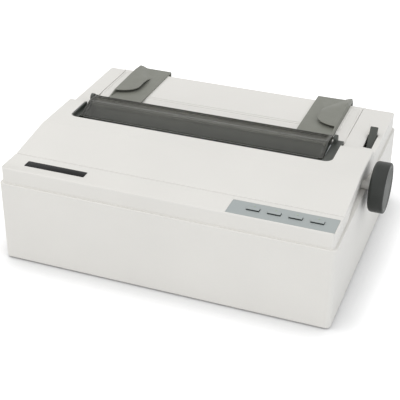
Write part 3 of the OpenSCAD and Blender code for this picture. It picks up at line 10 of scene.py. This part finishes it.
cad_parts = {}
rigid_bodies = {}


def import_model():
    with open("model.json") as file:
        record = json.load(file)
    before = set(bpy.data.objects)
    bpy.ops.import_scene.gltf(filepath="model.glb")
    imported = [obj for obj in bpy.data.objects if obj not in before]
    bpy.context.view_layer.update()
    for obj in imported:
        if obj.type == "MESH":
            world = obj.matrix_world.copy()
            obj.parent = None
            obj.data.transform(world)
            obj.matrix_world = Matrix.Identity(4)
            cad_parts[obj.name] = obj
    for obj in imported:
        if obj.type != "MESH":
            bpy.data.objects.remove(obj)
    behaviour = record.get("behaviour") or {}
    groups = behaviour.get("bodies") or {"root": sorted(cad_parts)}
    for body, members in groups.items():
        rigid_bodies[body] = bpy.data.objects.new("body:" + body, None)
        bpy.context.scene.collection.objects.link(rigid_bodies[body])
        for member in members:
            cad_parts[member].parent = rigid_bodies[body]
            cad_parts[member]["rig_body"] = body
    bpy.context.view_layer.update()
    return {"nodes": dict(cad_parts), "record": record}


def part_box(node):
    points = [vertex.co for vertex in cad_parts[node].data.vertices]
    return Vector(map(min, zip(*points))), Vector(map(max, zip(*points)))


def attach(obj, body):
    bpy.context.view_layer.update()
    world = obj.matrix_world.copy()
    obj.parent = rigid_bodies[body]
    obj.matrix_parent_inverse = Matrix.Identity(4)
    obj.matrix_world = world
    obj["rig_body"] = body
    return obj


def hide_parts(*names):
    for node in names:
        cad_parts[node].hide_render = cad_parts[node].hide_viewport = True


MM = 0.001
# Rounding of the CAD pieces: angles in degrees, factors of the rounding's width
CORNER_ANGLE = 32       # a bend sharper than this is a corner
SMOOTH_ANGLE = 40       # a bend flatter than this is shaded smooth
FLAT_ANGLE = 0.6        # faces that bend less than this are one face
WELD = 0.002 * MM       # points closer than this are one point
ROOM = 1.7              # a face needs this much depth beside a rounded corner
STRAY = 0.8             # a rounded point may lie this far off the sharp surface
STRAY_REACH = 4         # corners this near to a stray point stay sharp
SEAM_REACH = 1.0 * MM   # corners this near to the seam's height stay sharp
BUTTONS = ("button_1", "button_2", "button_3", "button_4")

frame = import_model()
scene = bpy.context.scene


# ---------------------------------------------------------------- materials

def linear(red, green, blue):
    """A display colour of 0 to 255 as the linear colour that Blender's sockets take."""
    def channel(value):
        value = value / 255
        return value / 12.92 if value <= 0.04045 else ((value + 0.055) / 1.055) ** 2.4
    return (channel(red), channel(green), channel(blue), 1.0)


class Shader:
    """A node material with short calls for the textures that it is built from."""

    def __init__(self, name):
        self.material = bpy.data.materials.new(name)
        self.material.use_nodes = True
        self.nodes = self.material.node_tree.nodes
        self.links = self.material.node_tree.links
        self.surface = self.nodes["Principled BSDF"]
        self.place = self.nodes.new("ShaderNodeTexCoord").outputs["Object"]

    def put(self, socket, value):
        if isinstance(value, bpy.types.NodeSocket):
            self.links.new(value, socket)
        else:
            socket.default_value = value

    def set(self, **values):
        for name, value in values.items():
            self.put(self.surface.inputs[name.replace("_", " ")], value)

    def stretched(self, x, y, z):
        """Object coordinates stretched by one factor per axis, for brushed and woven finishes."""
        mapping = self.nodes.new("ShaderNodeMapping")
        self.links.new(self.place, mapping.inputs["Vector"])
        mapping.inputs["Scale"].default_value = (x, y, z)
        return mapping.outputs["Vector"]

    def noise(self, scale, detail=2.0, rough=0.5, place=None):
        node = self.nodes.new("ShaderNodeTexNoise")
        self.links.new(place or self.place, node.inputs["Vector"])
        node.inputs["Scale"].default_value = scale
        node.inputs["Detail"].default_value = detail
        node.inputs["Roughness"].default_value = rough
        return node.outputs["Fac"]

    def cells(self, scale):
        node = self.nodes.new("ShaderNodeTexVoronoi")
        self.links.new(self.place, node.inputs["Vector"])
        node.inputs["Scale"].default_value = scale
        return node.outputs["Distance"]

    def waves(self, scale, direction):
        node = self.nodes.new("ShaderNodeTexWave")
        node.bands_direction = direction
        self.links.new(self.place, node.inputs["Vector"])
        node.inputs["Scale"].default_value = scale
        return node.outputs["Fac"]

    def remap(self, value, low, high, to_low, to_high):
        node = self.nodes.new("ShaderNodeMapRange")
        self.links.new(value, node.inputs["Value"])
        node.inputs["From Min"].default_value = low
        node.inputs["From Max"].default_value = high
        node.inputs["To Min"].default_value = to_low
        node.inputs["To Max"].default_value = to_high
        return node.outputs["Result"]

    def spread(self, noise, to_low=0, to_high=1):
        """A noise, which mostly lies between 0.3 and 0.7, stretched from to_low to to_high."""
        return self.remap(noise, 0.3, 0.7, to_low, to_high)

    def blend(self, factor, first, second):
        node = self.nodes.new("ShaderNodeMix")
        node.data_type = "RGBA"
        self.put(node.inputs["Factor"], factor)
        self.put(node.inputs["A"], first)
        self.put(node.inputs["B"], second)
        return node.outputs["Result"]

    def math(self, operation, first, second=0.0):
        node = self.nodes.new("ShaderNodeMath")
        node.operation = operation
        self.put(node.inputs[0], first)
        self.put(node.inputs[1], second)
        return node.outputs[0]

    def attribute(self, name):
        node = self.nodes.new("ShaderNodeAttribute")
        node.attribute_name = name
        return node.outputs["Fac"]

    def bump(self, height, depth):
        node = self.nodes.new("ShaderNodeBump")
        self.links.new(height, node.inputs["Height"])
        node.inputs["Distance"].default_value = depth
        return node.outputs["Normal"]


def shaded(colour, factor):
    """A linear colour made lighter or darker by a factor."""
    return tuple(min(c * factor, 1.0) for c in colour[:3]) + (1.0,)


def moulded(name, colour, rough=0.45, grain=0.03 * MM, grain_size=0.35 * MM, drift=0.03, edge=1.05,
            end=1.0):
    """Moulded plastic: a fine eroded grain, slow drift of tone, and edges that wear smoother and
    lighter by the factor edge. Faces marked as the end are painted lighter by the factor end:
    painted light for a face that is turned towards the lamps."""
    s = Shader(name)
    drifting = s.spread(s.noise(9, 3))
    tone = s.blend(drifting, shaded(colour, 1 - drift), shaded(colour, 1 + drift * 0.5))
    speckled = s.remap(s.noise(1 / (1.5 * MM), 4, 0.7), 0.35, 0.65, 0, 1)
    tone = s.blend(s.math("MULTIPLY", speckled, 0.25), tone, shaded(colour, 1 - drift * 1.5))
    worn = s.attribute("worn")
    tone = s.blend(s.math("MULTIPLY", worn, 0.6), tone, shaded(colour, edge))
    # Painted light: the knob's end face is made lighter, as if turned towards the lamps.
    if end != 1.0:
        tone = s.blend(s.attribute("end"), tone, shaded(colour, end))
    gloss = s.spread(s.noise(70, 3), rough - 0.05, rough + 0.06)
    gloss = s.math("SUBTRACT", gloss, s.math("MULTIPLY", worn, 0.1))
    height = s.noise(1 / grain_size, 3, 0.6)
    s.set(Base_Color=tone, Roughness=gloss, Normal=s.bump(height, grain))
    s.surface.inputs["IOR"].default_value = 1.5
    return s.material


def smoked(name):
    """See-through smoked plastic with a satin face, faint mould flow and dust. The marked level top
    is painted lighter: painted light for the lamp light that it catches and lets through."""
    s = Shader(name)
    flow = s.spread(s.noise(14, 3))
    tint = s.blend(flow, linear(95, 96, 87), linear(103, 104, 94))
    # Painted light: a lighter tint for the level top, as if lit more.
    thin = s.blend(flow, linear(134, 133, 123), linear(143, 142, 132))
    tint = s.blend(s.attribute("thin"), tint, thin)
    dust = s.remap(s.noise(1100, 3, 0.6), 0.5, 0.8, 0, 0.12)
    tint = s.blend(dust, tint, linear(132, 133, 124))
    tint = s.blend(s.math("MULTIPLY", s.attribute("worn"), 0.25), tint, linear(126, 127, 118))
    gloss = s.spread(s.noise(60, 3), 0.14, 0.22)
    s.set(Base_Color=tint, Roughness=gloss, Normal=s.bump(s.noise(1 / (0.4 * MM), 2), 0.006 * MM))
    s.surface.inputs["Transmission Weight"].default_value = 0.8
    s.surface.inputs["IOR"].default_value = 1.52
    return s.material


def metal(name, colour, rough, along=(1, 1, 1), grain=0.01 * MM, spangle=0.0):
    """Bare or plated metal with brushed or drawn lines. The grain is finest on the axis that has
    the largest factor in along, and spangle is the strength of zinc flakes."""
    s = Shader(name)
    lines = s.noise(1, 4, 0.6, s.stretched(*along))
    tone = s.blend(s.spread(lines), shaded(colour, 0.86), shaded(colour, 1.08))
    if spangle:
        flakes = s.remap(s.cells(1 / (9 * MM)), 0.0, 0.8, 0, 1)
        tone = s.blend(s.math("MULTIPLY", flakes, spangle), tone, shaded(colour, 0.72))
    gloss = s.spread(s.noise(120, 3), rough - 0.06, rough + 0.08)
    s.set(Base_Color=tone, Roughness=gloss, Normal=s.bump(lines, grain))
    s.surface.inputs["Metallic"].default_value = 1.0
    return s.material


def rubber(name, colour, rough=0.75):
    """Ground rubber with fine turning marks and a dusty bloom."""
    s = Shader(name)
    marks = s.noise(1, 3, 0.6, s.stretched(4000, 300, 300))
    dust = s.remap(s.noise(40, 4, 0.65), 0.45, 0.75, 0, 0.5)
    tone = s.blend(dust, colour, shaded(colour, 2.4))
    s.set(Base_Color=tone, Roughness=s.spread(marks, rough - 0.1, rough + 0.1),
          Normal=s.bump(marks, 0.02 * MM))
    return s.material


def circuit(name):
    """Green solder resist with traces under it and tinned pads."""
    s = Shader(name)
    base = linear(20, 74, 40)
    across = s.remap(s.waves(55, "X"), 0.78, 0.86, 0, 1)
    along = s.remap(s.waves(40, "Y"), 0.82, 0.9, 0, 1)
    patches = s.remap(s.noise(38, 1), 0.48, 0.5, 0, 1)
    traces = s.blend(patches, across, along)
    tone = s.blend(traces, base, linear(38, 106, 58))
    pads = s.remap(s.cells(210), 0.16, 0.12, 0, 1)
    spots = s.math("MULTIPLY", pads, s.remap(s.noise(30, 1), 0.52, 0.56, 0, 1))
    tone = s.blend(spots, tone, linear(190, 190, 186))
    s.set(Base_Color=tone, Roughness=0.35, Normal=s.bump(traces, 0.03 * MM))
    return s.material


def woven(name):
    """Inked ribbon cloth: a plain weave with a dull ink film."""
    s = Shader(name)
    warp = s.waves(1500, "X")
    weft = s.waves(1500, "Z")
    cloth = s.math("MULTIPLY", warp, weft)
    tone = s.blend(cloth, linear(10, 10, 12), linear(38, 38, 42))
    s.set(Base_Color=tone, Roughness=0.8, Normal=s.bump(cloth, 0.05 * MM))
    return s.material


def lens(name):
    """Small clear lamp lens, unlit."""
    s = Shader(name)
    cloud = s.spread(s.noise(900, 2))
    tone = s.blend(cloud, linear(176, 190, 172), linear(198, 208, 194))
    s.set(Base_Color=tone, Roughness=0.18, Normal=s.bump(s.noise(1200, 1), 0.01 * MM))
    s.surface.inputs["Transmission Weight"].default_value = 0.15
    return s.material


def printed_panel(name, skirt=False):
    """Blue-grey overlay film with a soft satin print. When asked, faces marked as a button's sides
    are painted dark: painted shade on those sides.
    """
    s = Shader(name)
    colour = linear(163, 170, 170)
    grain = s.noise(1 / (0.25 * MM), 3, 0.7)
    tone = s.blend(s.remap(grain, 0.35, 0.65, 0, 1), shaded(colour, 0.95), shaded(colour, 1.03))
    tone = s.blend(s.spread(s.noise(20, 2), 0, 0.5), tone, linear(171, 177, 175))
    if skirt:
        # Painted shade: the marked sides of a button are painted near black.
        tone = s.blend(s.attribute("skirt"), tone, linear(38, 44, 44))
    s.set(Base_Color=tone, Roughness=s.spread(grain, 0.36, 0.46),
          Normal=s.bump(grain, 0.012 * MM))
    return s.material


def laminated(name):
    """Transformer core: varnished steel sheets stacked in thin layers."""
    s = Shader(name)
    sheets = s.waves(900, "Y")
    tone = s.blend(sheets, linear(62, 58, 54), linear(92, 88, 82))
    s.set(Base_Color=tone, Roughness=s.spread(s.noise(60, 3), 0.35, 0.55),
          Normal=s.bump(sheets, 0.08 * MM))
    s.surface.inputs["Metallic"].default_value = 0.4
    return s.material


# One material for each material slot of the record
MATERIALS = {
    "case_white": moulded("case_plastic", linear(229, 227, 222), 0.46),
    "smoked_clear": smoked("smoked_plastic"),
    "warm_grey": moulded("guide_plastic", linear(126, 127, 118), 0.5, drift=0.05, edge=1.12),
    "dark_grey": moulded("dark_plastic", linear(70, 73, 68), 0.5, drift=0.08, edge=1.25),
    "panel_grey": printed_panel("panel_film"),
    "light_lens": lens("lamp_lens"),
    "zinc_sheet": metal("zinc_sheet", linear(176, 180, 182), 0.4, (40, 260, 40), spangle=0.5),
    "steel": metal("ground_steel", linear(196, 198, 200), 0.22, (20, 2600, 2600)),
    "rubber": rubber("platen_rubber", linear(38, 38, 38)),
    "black_plastic": moulded("black_plastic", linear(34, 35, 35), 0.42, drift=0.1, edge=1.5),
    "acetal": moulded("acetal_plastic", linear(214, 210, 196), 0.34, grain=0.01 * MM),
    "board_green": circuit("circuit_board"),
    "core_iron": laminated("laminated_core"),
    "head_alloy": metal("cast_alloy", linear(150, 152, 154), 0.45, (500, 500, 500), 0.05 * MM),
    "belt_rubber": rubber("belt_rubber", linear(30, 30, 30), 0.6),
    "ribbon_cloth": woven("ribbon_cloth"),
}
# Materials of single nodes, which go before that of their slot
SPECIAL = {
    # The knob's end face gets painted light: it is made lighter than the rim.
    "platen_knob": moulded("knob_plastic", linear(30, 34, 30), 0.5, drift=0.08, edge=1.3, end=1.9),
}
# The side frames' sheet metal is coloured dark grey.
for side in ("left", "right"):
    SPECIAL["side_frame_" + side] = metal("dark_grey_sheet_" + side, linear(74, 76, 77), 0.5,
                                          (40, 260, 40))
# The buttons' film paints their sides dark as painted shade.
button_film = printed_panel("button_film", skirt=True)
for button in BUTTONS:
    SPECIAL[button] = button_film


# ---------------------------------------------------------------- pieces

def body_of(node):
    return frame["nodes"][node]["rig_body"]


def slot_of(node):
    return next(p["material_slot"] for p in frame["record"]["subparts"] if p["node"] == node)


def material_of(node):
    return SPECIAL.get(node) or MATERIALS[slot_of(node)]


def face_depth(face, edge):
    """How far a face reaches from the line of one of its edges."""
    start = edge.verts[0].co
    along = (edge.verts[1].co - start).normalized()
    return max((v.co - start - (v.co - start).dot(along) * along).length for v in face.verts)


def sharp_edges(bm, width, seam_z):
    """The corners that can take a rounding of that width: none on thin faces, at short steps or
    along the seam at the height seam_z, where two shells close tightly."""
    chosen = set()
    for edge in bm.edges:
        if len(edge.link_faces) != 2 or edge.calc_face_angle(0) < math.radians(CORNER_ANGLE):
            continue
        if seam_z and all(abs(v.co.z - seam_z) < SEAM_REACH for v in edge.verts):
            continue
        if min(face_depth(face, edge) for face in edge.link_faces) > ROOM * width:
            chosen.add(edge)
    while True:
        crowded = {edge for edge in chosen if any(
            other not in chosen and other.calc_length() < width
            for v in edge.verts for other in v.link_edges)}
        if not crowded:
            return list(chosen)
        chosen -= crowded


def rounded_mesh(sharp, width, seam_z):
    """A copy of a closed mesh with its corners rounded. Where a rounding would leave the surface,
    the corners around it stay sharp."""
    sharp.edges.index_update()
    surface = BVHTree.FromBMesh(sharp)
    kept_sharp = set()
    while True:
        bm = sharp.copy()
        worn = bm.faces.layers.float.new("worn")
        edges = [e for e in sharp_edges(bm, width, seam_z) if e.index not in kept_sharp]
        made = bmesh.ops.bevel(bm, geom=edges, offset=width, offset_type="OFFSET", segments=2,
                               profile=0.5, affect="EDGES", clamp_overlap=False, loop_slide=True)
        for face in made["faces"]:
            face[worn] = 1.0
        stray = [v.co for v in bm.verts if surface.find_nearest(v.co)[3] > STRAY * width]
        around = {e.index for e in sharp.edges for place in stray
                  if min((v.co - place).length for v in e.verts) < STRAY_REACH * width}
        if around <= kept_sharp:
            return bm
        kept_sharp |= around
        bm.free()


def softened(node, width, seam_z=None, marks=None):
    """A copy of a CAD node with rounded corners, which stands for the node on its own body. Each
    entry of marks names a face attribute and the test that says which faces have it."""
    mesh = frame["nodes"][node].data.copy()
    sharp = bmesh.new()
    sharp.from_mesh(mesh)
    bmesh.ops.remove_doubles(sharp, verts=sharp.verts, dist=WELD)
    bmesh.ops.dissolve_limit(sharp, angle_limit=math.radians(FLAT_ANGLE), verts=sharp.verts,
                             edges=sharp.edges)
    bm = rounded_mesh(sharp, width, seam_z)
    sharp.free()
    bm.normal_update()
    for name, test in (marks or {}).items():
        layer = bm.faces.layers.float.new(name)
        for face in bm.faces:
            if test(face):
                face[layer] = 1.0
    bmesh.ops.triangulate(bm, faces=[f for f in bm.faces if len(f.verts) > 4])
    bm.to_mesh(mesh)
    bm.free()
    mesh.materials.clear()
    mesh.materials.append(material_of(node))
    mesh.shade_smooth()
    mesh.set_sharp_from_angle(angle=math.radians(SMOOTH_ANGLE))
    piece = bpy.data.objects.new(node + "_shell", mesh)
    scene.collection.objects.link(piece)
    weighted = piece.modifiers.new("weighted", "WEIGHTED_NORMAL")
    weighted.keep_sharp = True
    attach(piece, body_of(node))
    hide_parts(node)


cover_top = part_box("smoked_cover")[1].z


def end_face(face):
    """The knob's end, which faces right and gets painted light."""
    return face.normal.x > 0.97


def upright_face(face):
    """The sides of a button, which get painted shade."""
    return abs(face.normal.z) < 0.5


def ribbed_face(face):
    """The smoked cover's level top behind its crown, which lies within the highest 3 mm. It gets
    painted light.
    """
    return face.normal.z > 0.985 and face.calc_center_median().z > cover_top - 3 * MM


# Width of the rounding of each piece's corners, in mm
ROUNDED = {
    "lower_case": 0.7, "upper_case": 0.5, "front_cover": 0.5, "paper_table": 0.4, "guide_left": 0.3,
    "guide_right": 0.3, "smoked_cover": 0.3, "release_lever": 0.5, "platen_knob": 0.7,
    "button_1": 0.3, "button_2": 0.3, "button_3": 0.3, "button_4": 0.3,
    "ribbon_cartridge": 0.5, "ribbon_knob": 0.3, "power_switch": 0.4, "power_inlet": 0.4,
    "tractor_left": 0.4, "tractor_right": 0.4, "tractor_flap_left": 0.3, "tractor_flap_right": 0.3,
    "carriage": 0.4, "print_head": 0.25, "gear_guard_left": 0.3, "gear_guard_right": 0.3,
}
# Attributes of faces that the materials read, each with the test that says which faces have it
# The knob's end face and the smoked cover's level top are marked for painted light.
MARKED = {"platen_knob": {"end": end_face}, "smoked_cover": {"thin": ribbed_face}}
# The buttons' sides are marked for painted shade.
for button in BUTTONS:
    MARKED[button] = {"skirt": upright_face}

for name, obj in frame["nodes"].items():
    obj.data.materials.clear()
    obj.data.materials.append(material_of(name))
shell_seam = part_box("upper_case")[0].z
for name, width in ROUNDED.items():
    seam = shell_seam if name in ("upper_case", "front_cover") else None
    softened(name, width * MM, seam, MARKED.get(name))


def rounded_plate(name, low, high, thick, radius, bevel, material, body):
    """A thin plate with round corners lying on a level face. low and high are its corners in X and
    Y, and low holds the height of its underside too."""
    bm = bmesh.new()
    steps = 6  # in each quarter turn
    points = []
    centres = [(high[0] - radius, high[1] - radius, 0), (low[0] + radius, high[1] - radius, 90),
               (low[0] + radius, low[1] + radius, 180), (high[0] - radius, low[1] + radius, 270)]
    for x, y, start in centres:
        for k in range(steps + 1):
            a = math.radians(start + 90 * k / steps)
            points.append((x + radius * math.cos(a), y + radius * math.sin(a)))
    base = [bm.verts.new((x, y, low[2])) for x, y in points]
    top = [bm.verts.new((x, y, low[2] + thick)) for x, y in points]
    bm.faces.new(base[::-1])
    lid = bm.faces.new(top)
    for k in range(len(points)):
        j = (k + 1) % len(points)
        bm.faces.new((base[k], base[j], top[j], top[k]))
    rim = list(lid.edges)
    bmesh.ops.bevel(bm, geom=rim, offset=bevel, segments=2, profile=0.5, affect="EDGES")
    mesh = bpy.data.meshes.new(name)
    bm.to_mesh(mesh)
    bm.free()
    mesh.materials.append(material)
    mesh.shade_smooth()
    mesh.set_sharp_from_angle(angle=math.radians(SMOOTH_ANGLE))
    piece = bpy.data.objects.new(name, mesh)
    scene.collection.objects.link(piece)
    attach(piece, body)


def bare_label():
    """The blank black strip at the front left, a bare plate sunk into the case by its foot."""
    inset, rise = 23.2 * MM, 11.4 * MM  # from the case's left side and from the panel's front edge
    length, width, thick, foot = 73.4 * MM, 11 * MM, 0.5 * MM, 0.1 * MM
    panel_low, panel_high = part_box("panel_plate")
    x0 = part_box("upper_case")[0].x + inset
    y0 = panel_low.y + rise
    s = Shader("label_gloss")
    tone = s.blend(s.spread(s.noise(60, 3)), linear(9, 9, 10), linear(14, 14, 15))
    s.set(Base_Color=tone, Roughness=s.spread(s.noise(500, 3), 0.42, 0.52),
          Normal=s.bump(s.noise(1 / (0.3 * MM), 2), 0.004 * MM))
    s.surface.inputs["Specular IOR Level"].default_value = 0.2
    rounded_plate("label_plate", (x0, y0, panel_high.z - foot), (x0 + length, y0 + width), thick,
                  0.8 * MM, 0.15 * MM, s.material, "machine")


bare_label()


# ---------------------------------------------------------------- studio

def floor_material():
    """Pale floor that keeps the shadow and meets the white background where it is fully lit. A glow
    that casts no soft light lifts the open floor to white. It fades near the printer, which paints
    a darker shade on the floor around the printer, on top of its real shadow."""
    glow, reach, fade = 0.5, 45 * MM, 3.0
    s = Shader("floor")
    cloud = s.spread(s.noise(4, 2))
    paper = s.blend(cloud, (0.80, 0.80, 0.80, 1), (0.82, 0.82, 0.82, 1))
    s.set(Base_Color=paper, Roughness=0.9)
    s.surface.inputs["Specular IOR Level"].default_value = 0.0
    path = s.nodes.new("ShaderNodeLightPath")
    sharp = s.math("MAXIMUM", path.outputs["Is Glossy Ray"], path.outputs["Is Transmission Ray"])
    seen = s.math("MAXIMUM", path.outputs["Is Camera Ray"], sharp)
    s.surface.inputs["Emission Color"].default_value = (1, 1, 1, 1)
    # Painted shade: the glow fades where the printer is near, darkening the floor around it.
    near = s.nodes.new("ShaderNodeAmbientOcclusion")
    near.inputs["Distance"].default_value = reach
    open_sky = s.math("POWER", near.outputs["AO"], fade)
    s.set(Emission_Strength=s.math("MULTIPLY", seen, s.math("MULTIPLY", open_sky, glow)))
    return s.material


def make_floor():
    """A wide square just under the printer's feet."""
    reach = 30.0
    level = -0.05 * MM
    corners = ((-reach, -reach), (reach, -reach), (reach, reach), (-reach, reach))
    mesh = bpy.data.meshes.new("floor")
    mesh.from_pydata([(x, y, level) for x, y in corners], [], [(0, 1, 2, 3)])
    mesh.materials.append(floor_material())
    floor = bpy.data.objects.new("floor", mesh)
    scene.collection.objects.link(floor)


def make_world():
    """Even white surroundings: full white where it is seen, softer where it lights."""
    world = bpy.data.worlds.new("studio")
    world.use_nodes = True
    scene.world = world
    nodes, links = world.node_tree.nodes, world.node_tree.links
    nodes.clear()
    path = nodes.new("ShaderNodeLightPath")
    seen = nodes.new("ShaderNodeMath")
    seen.operation = "MAXIMUM"
    links.new(path.outputs["Is Camera Ray"], seen.inputs[0])
    both = nodes.new("ShaderNodeMath")
    both.operation = "MAXIMUM"
    links.new(path.outputs["Is Glossy Ray"], both.inputs[0])
    links.new(path.outputs["Is Transmission Ray"], both.inputs[1])
    links.new(both.outputs[0], seen.inputs[1])
    strength = nodes.new("ShaderNodeMapRange")
    links.new(seen.outputs[0], strength.inputs["Value"])
    strength.inputs["To Min"].default_value = 0.8  # as light
    strength.inputs["To Max"].default_value = 1.0  # as seen
    background = nodes.new("ShaderNodeBackground")
    background.inputs["Color"].default_value = (1, 1, 1, 1)
    links.new(strength.outputs["Result"], background.inputs["Strength"])
    output = nodes.new("ShaderNodeOutputWorld")
    links.new(background.outputs[0], output.inputs["Surface"])


def softbox(name, place, power, colour=(1.0, 1.0, 1.0)):
    """A square lamp of 1.6 m that faces the printer's middle."""
    data = bpy.data.lights.new(name, "AREA")
    data.shape = "SQUARE"
    data.size = 1.6
    data.energy = power
    data.color = colour
    lamp = bpy.data.objects.new(name, data)
    lamp.location = place
    lamp.rotation_mode = "QUATERNION"
    lamp.rotation_quaternion = (Vector((0, 0, 0.05)) - Vector(place)).to_track_quat("-Z", "Y")
    scene.collection.objects.link(lamp)


def make_camera():
    """The photograph's view: the camera that fits the case's edges."""
    yaw, pitch, roll = math.radians(20.407), math.radians(30.637), math.radians(0.485)
    place = Vector((0.3530, -1.0082, 0.6687))
    ahead = Vector((-math.sin(yaw) * math.cos(pitch), math.cos(yaw) * math.cos(pitch),
                    -math.sin(pitch)))
    level = Vector((math.cos(yaw), math.sin(yaw), 0))
    over = level.cross(ahead)
    right = math.cos(roll) * level + math.sin(roll) * over
    up = -math.sin(roll) * level + math.cos(roll) * over
    data = bpy.data.cameras.new("camera")
    data.sensor_width = 36.0
    data.lens = 91.616
    data.clip_start = 0.01
    data.clip_end = 100.0
    camera = bpy.data.objects.new("camera", data)
    turn = Matrix((right, up, -ahead)).transposed().to_4x4()
    camera.matrix_world = Matrix.Translation(place) @ turn
    scene.collection.objects.link(camera)
    scene.camera = camera


make_floor()
make_world()
softbox("key", (-0.9, -0.2, 2.0), 8)
softbox("fill", (0.2, -2.2, 0.9), 6)
softbox("side", (2.2, -0.9, 0.8), 4.5, (0.68, 0.82, 1.0))
make_camera()
scene.view_settings.view_transform = "Standard"
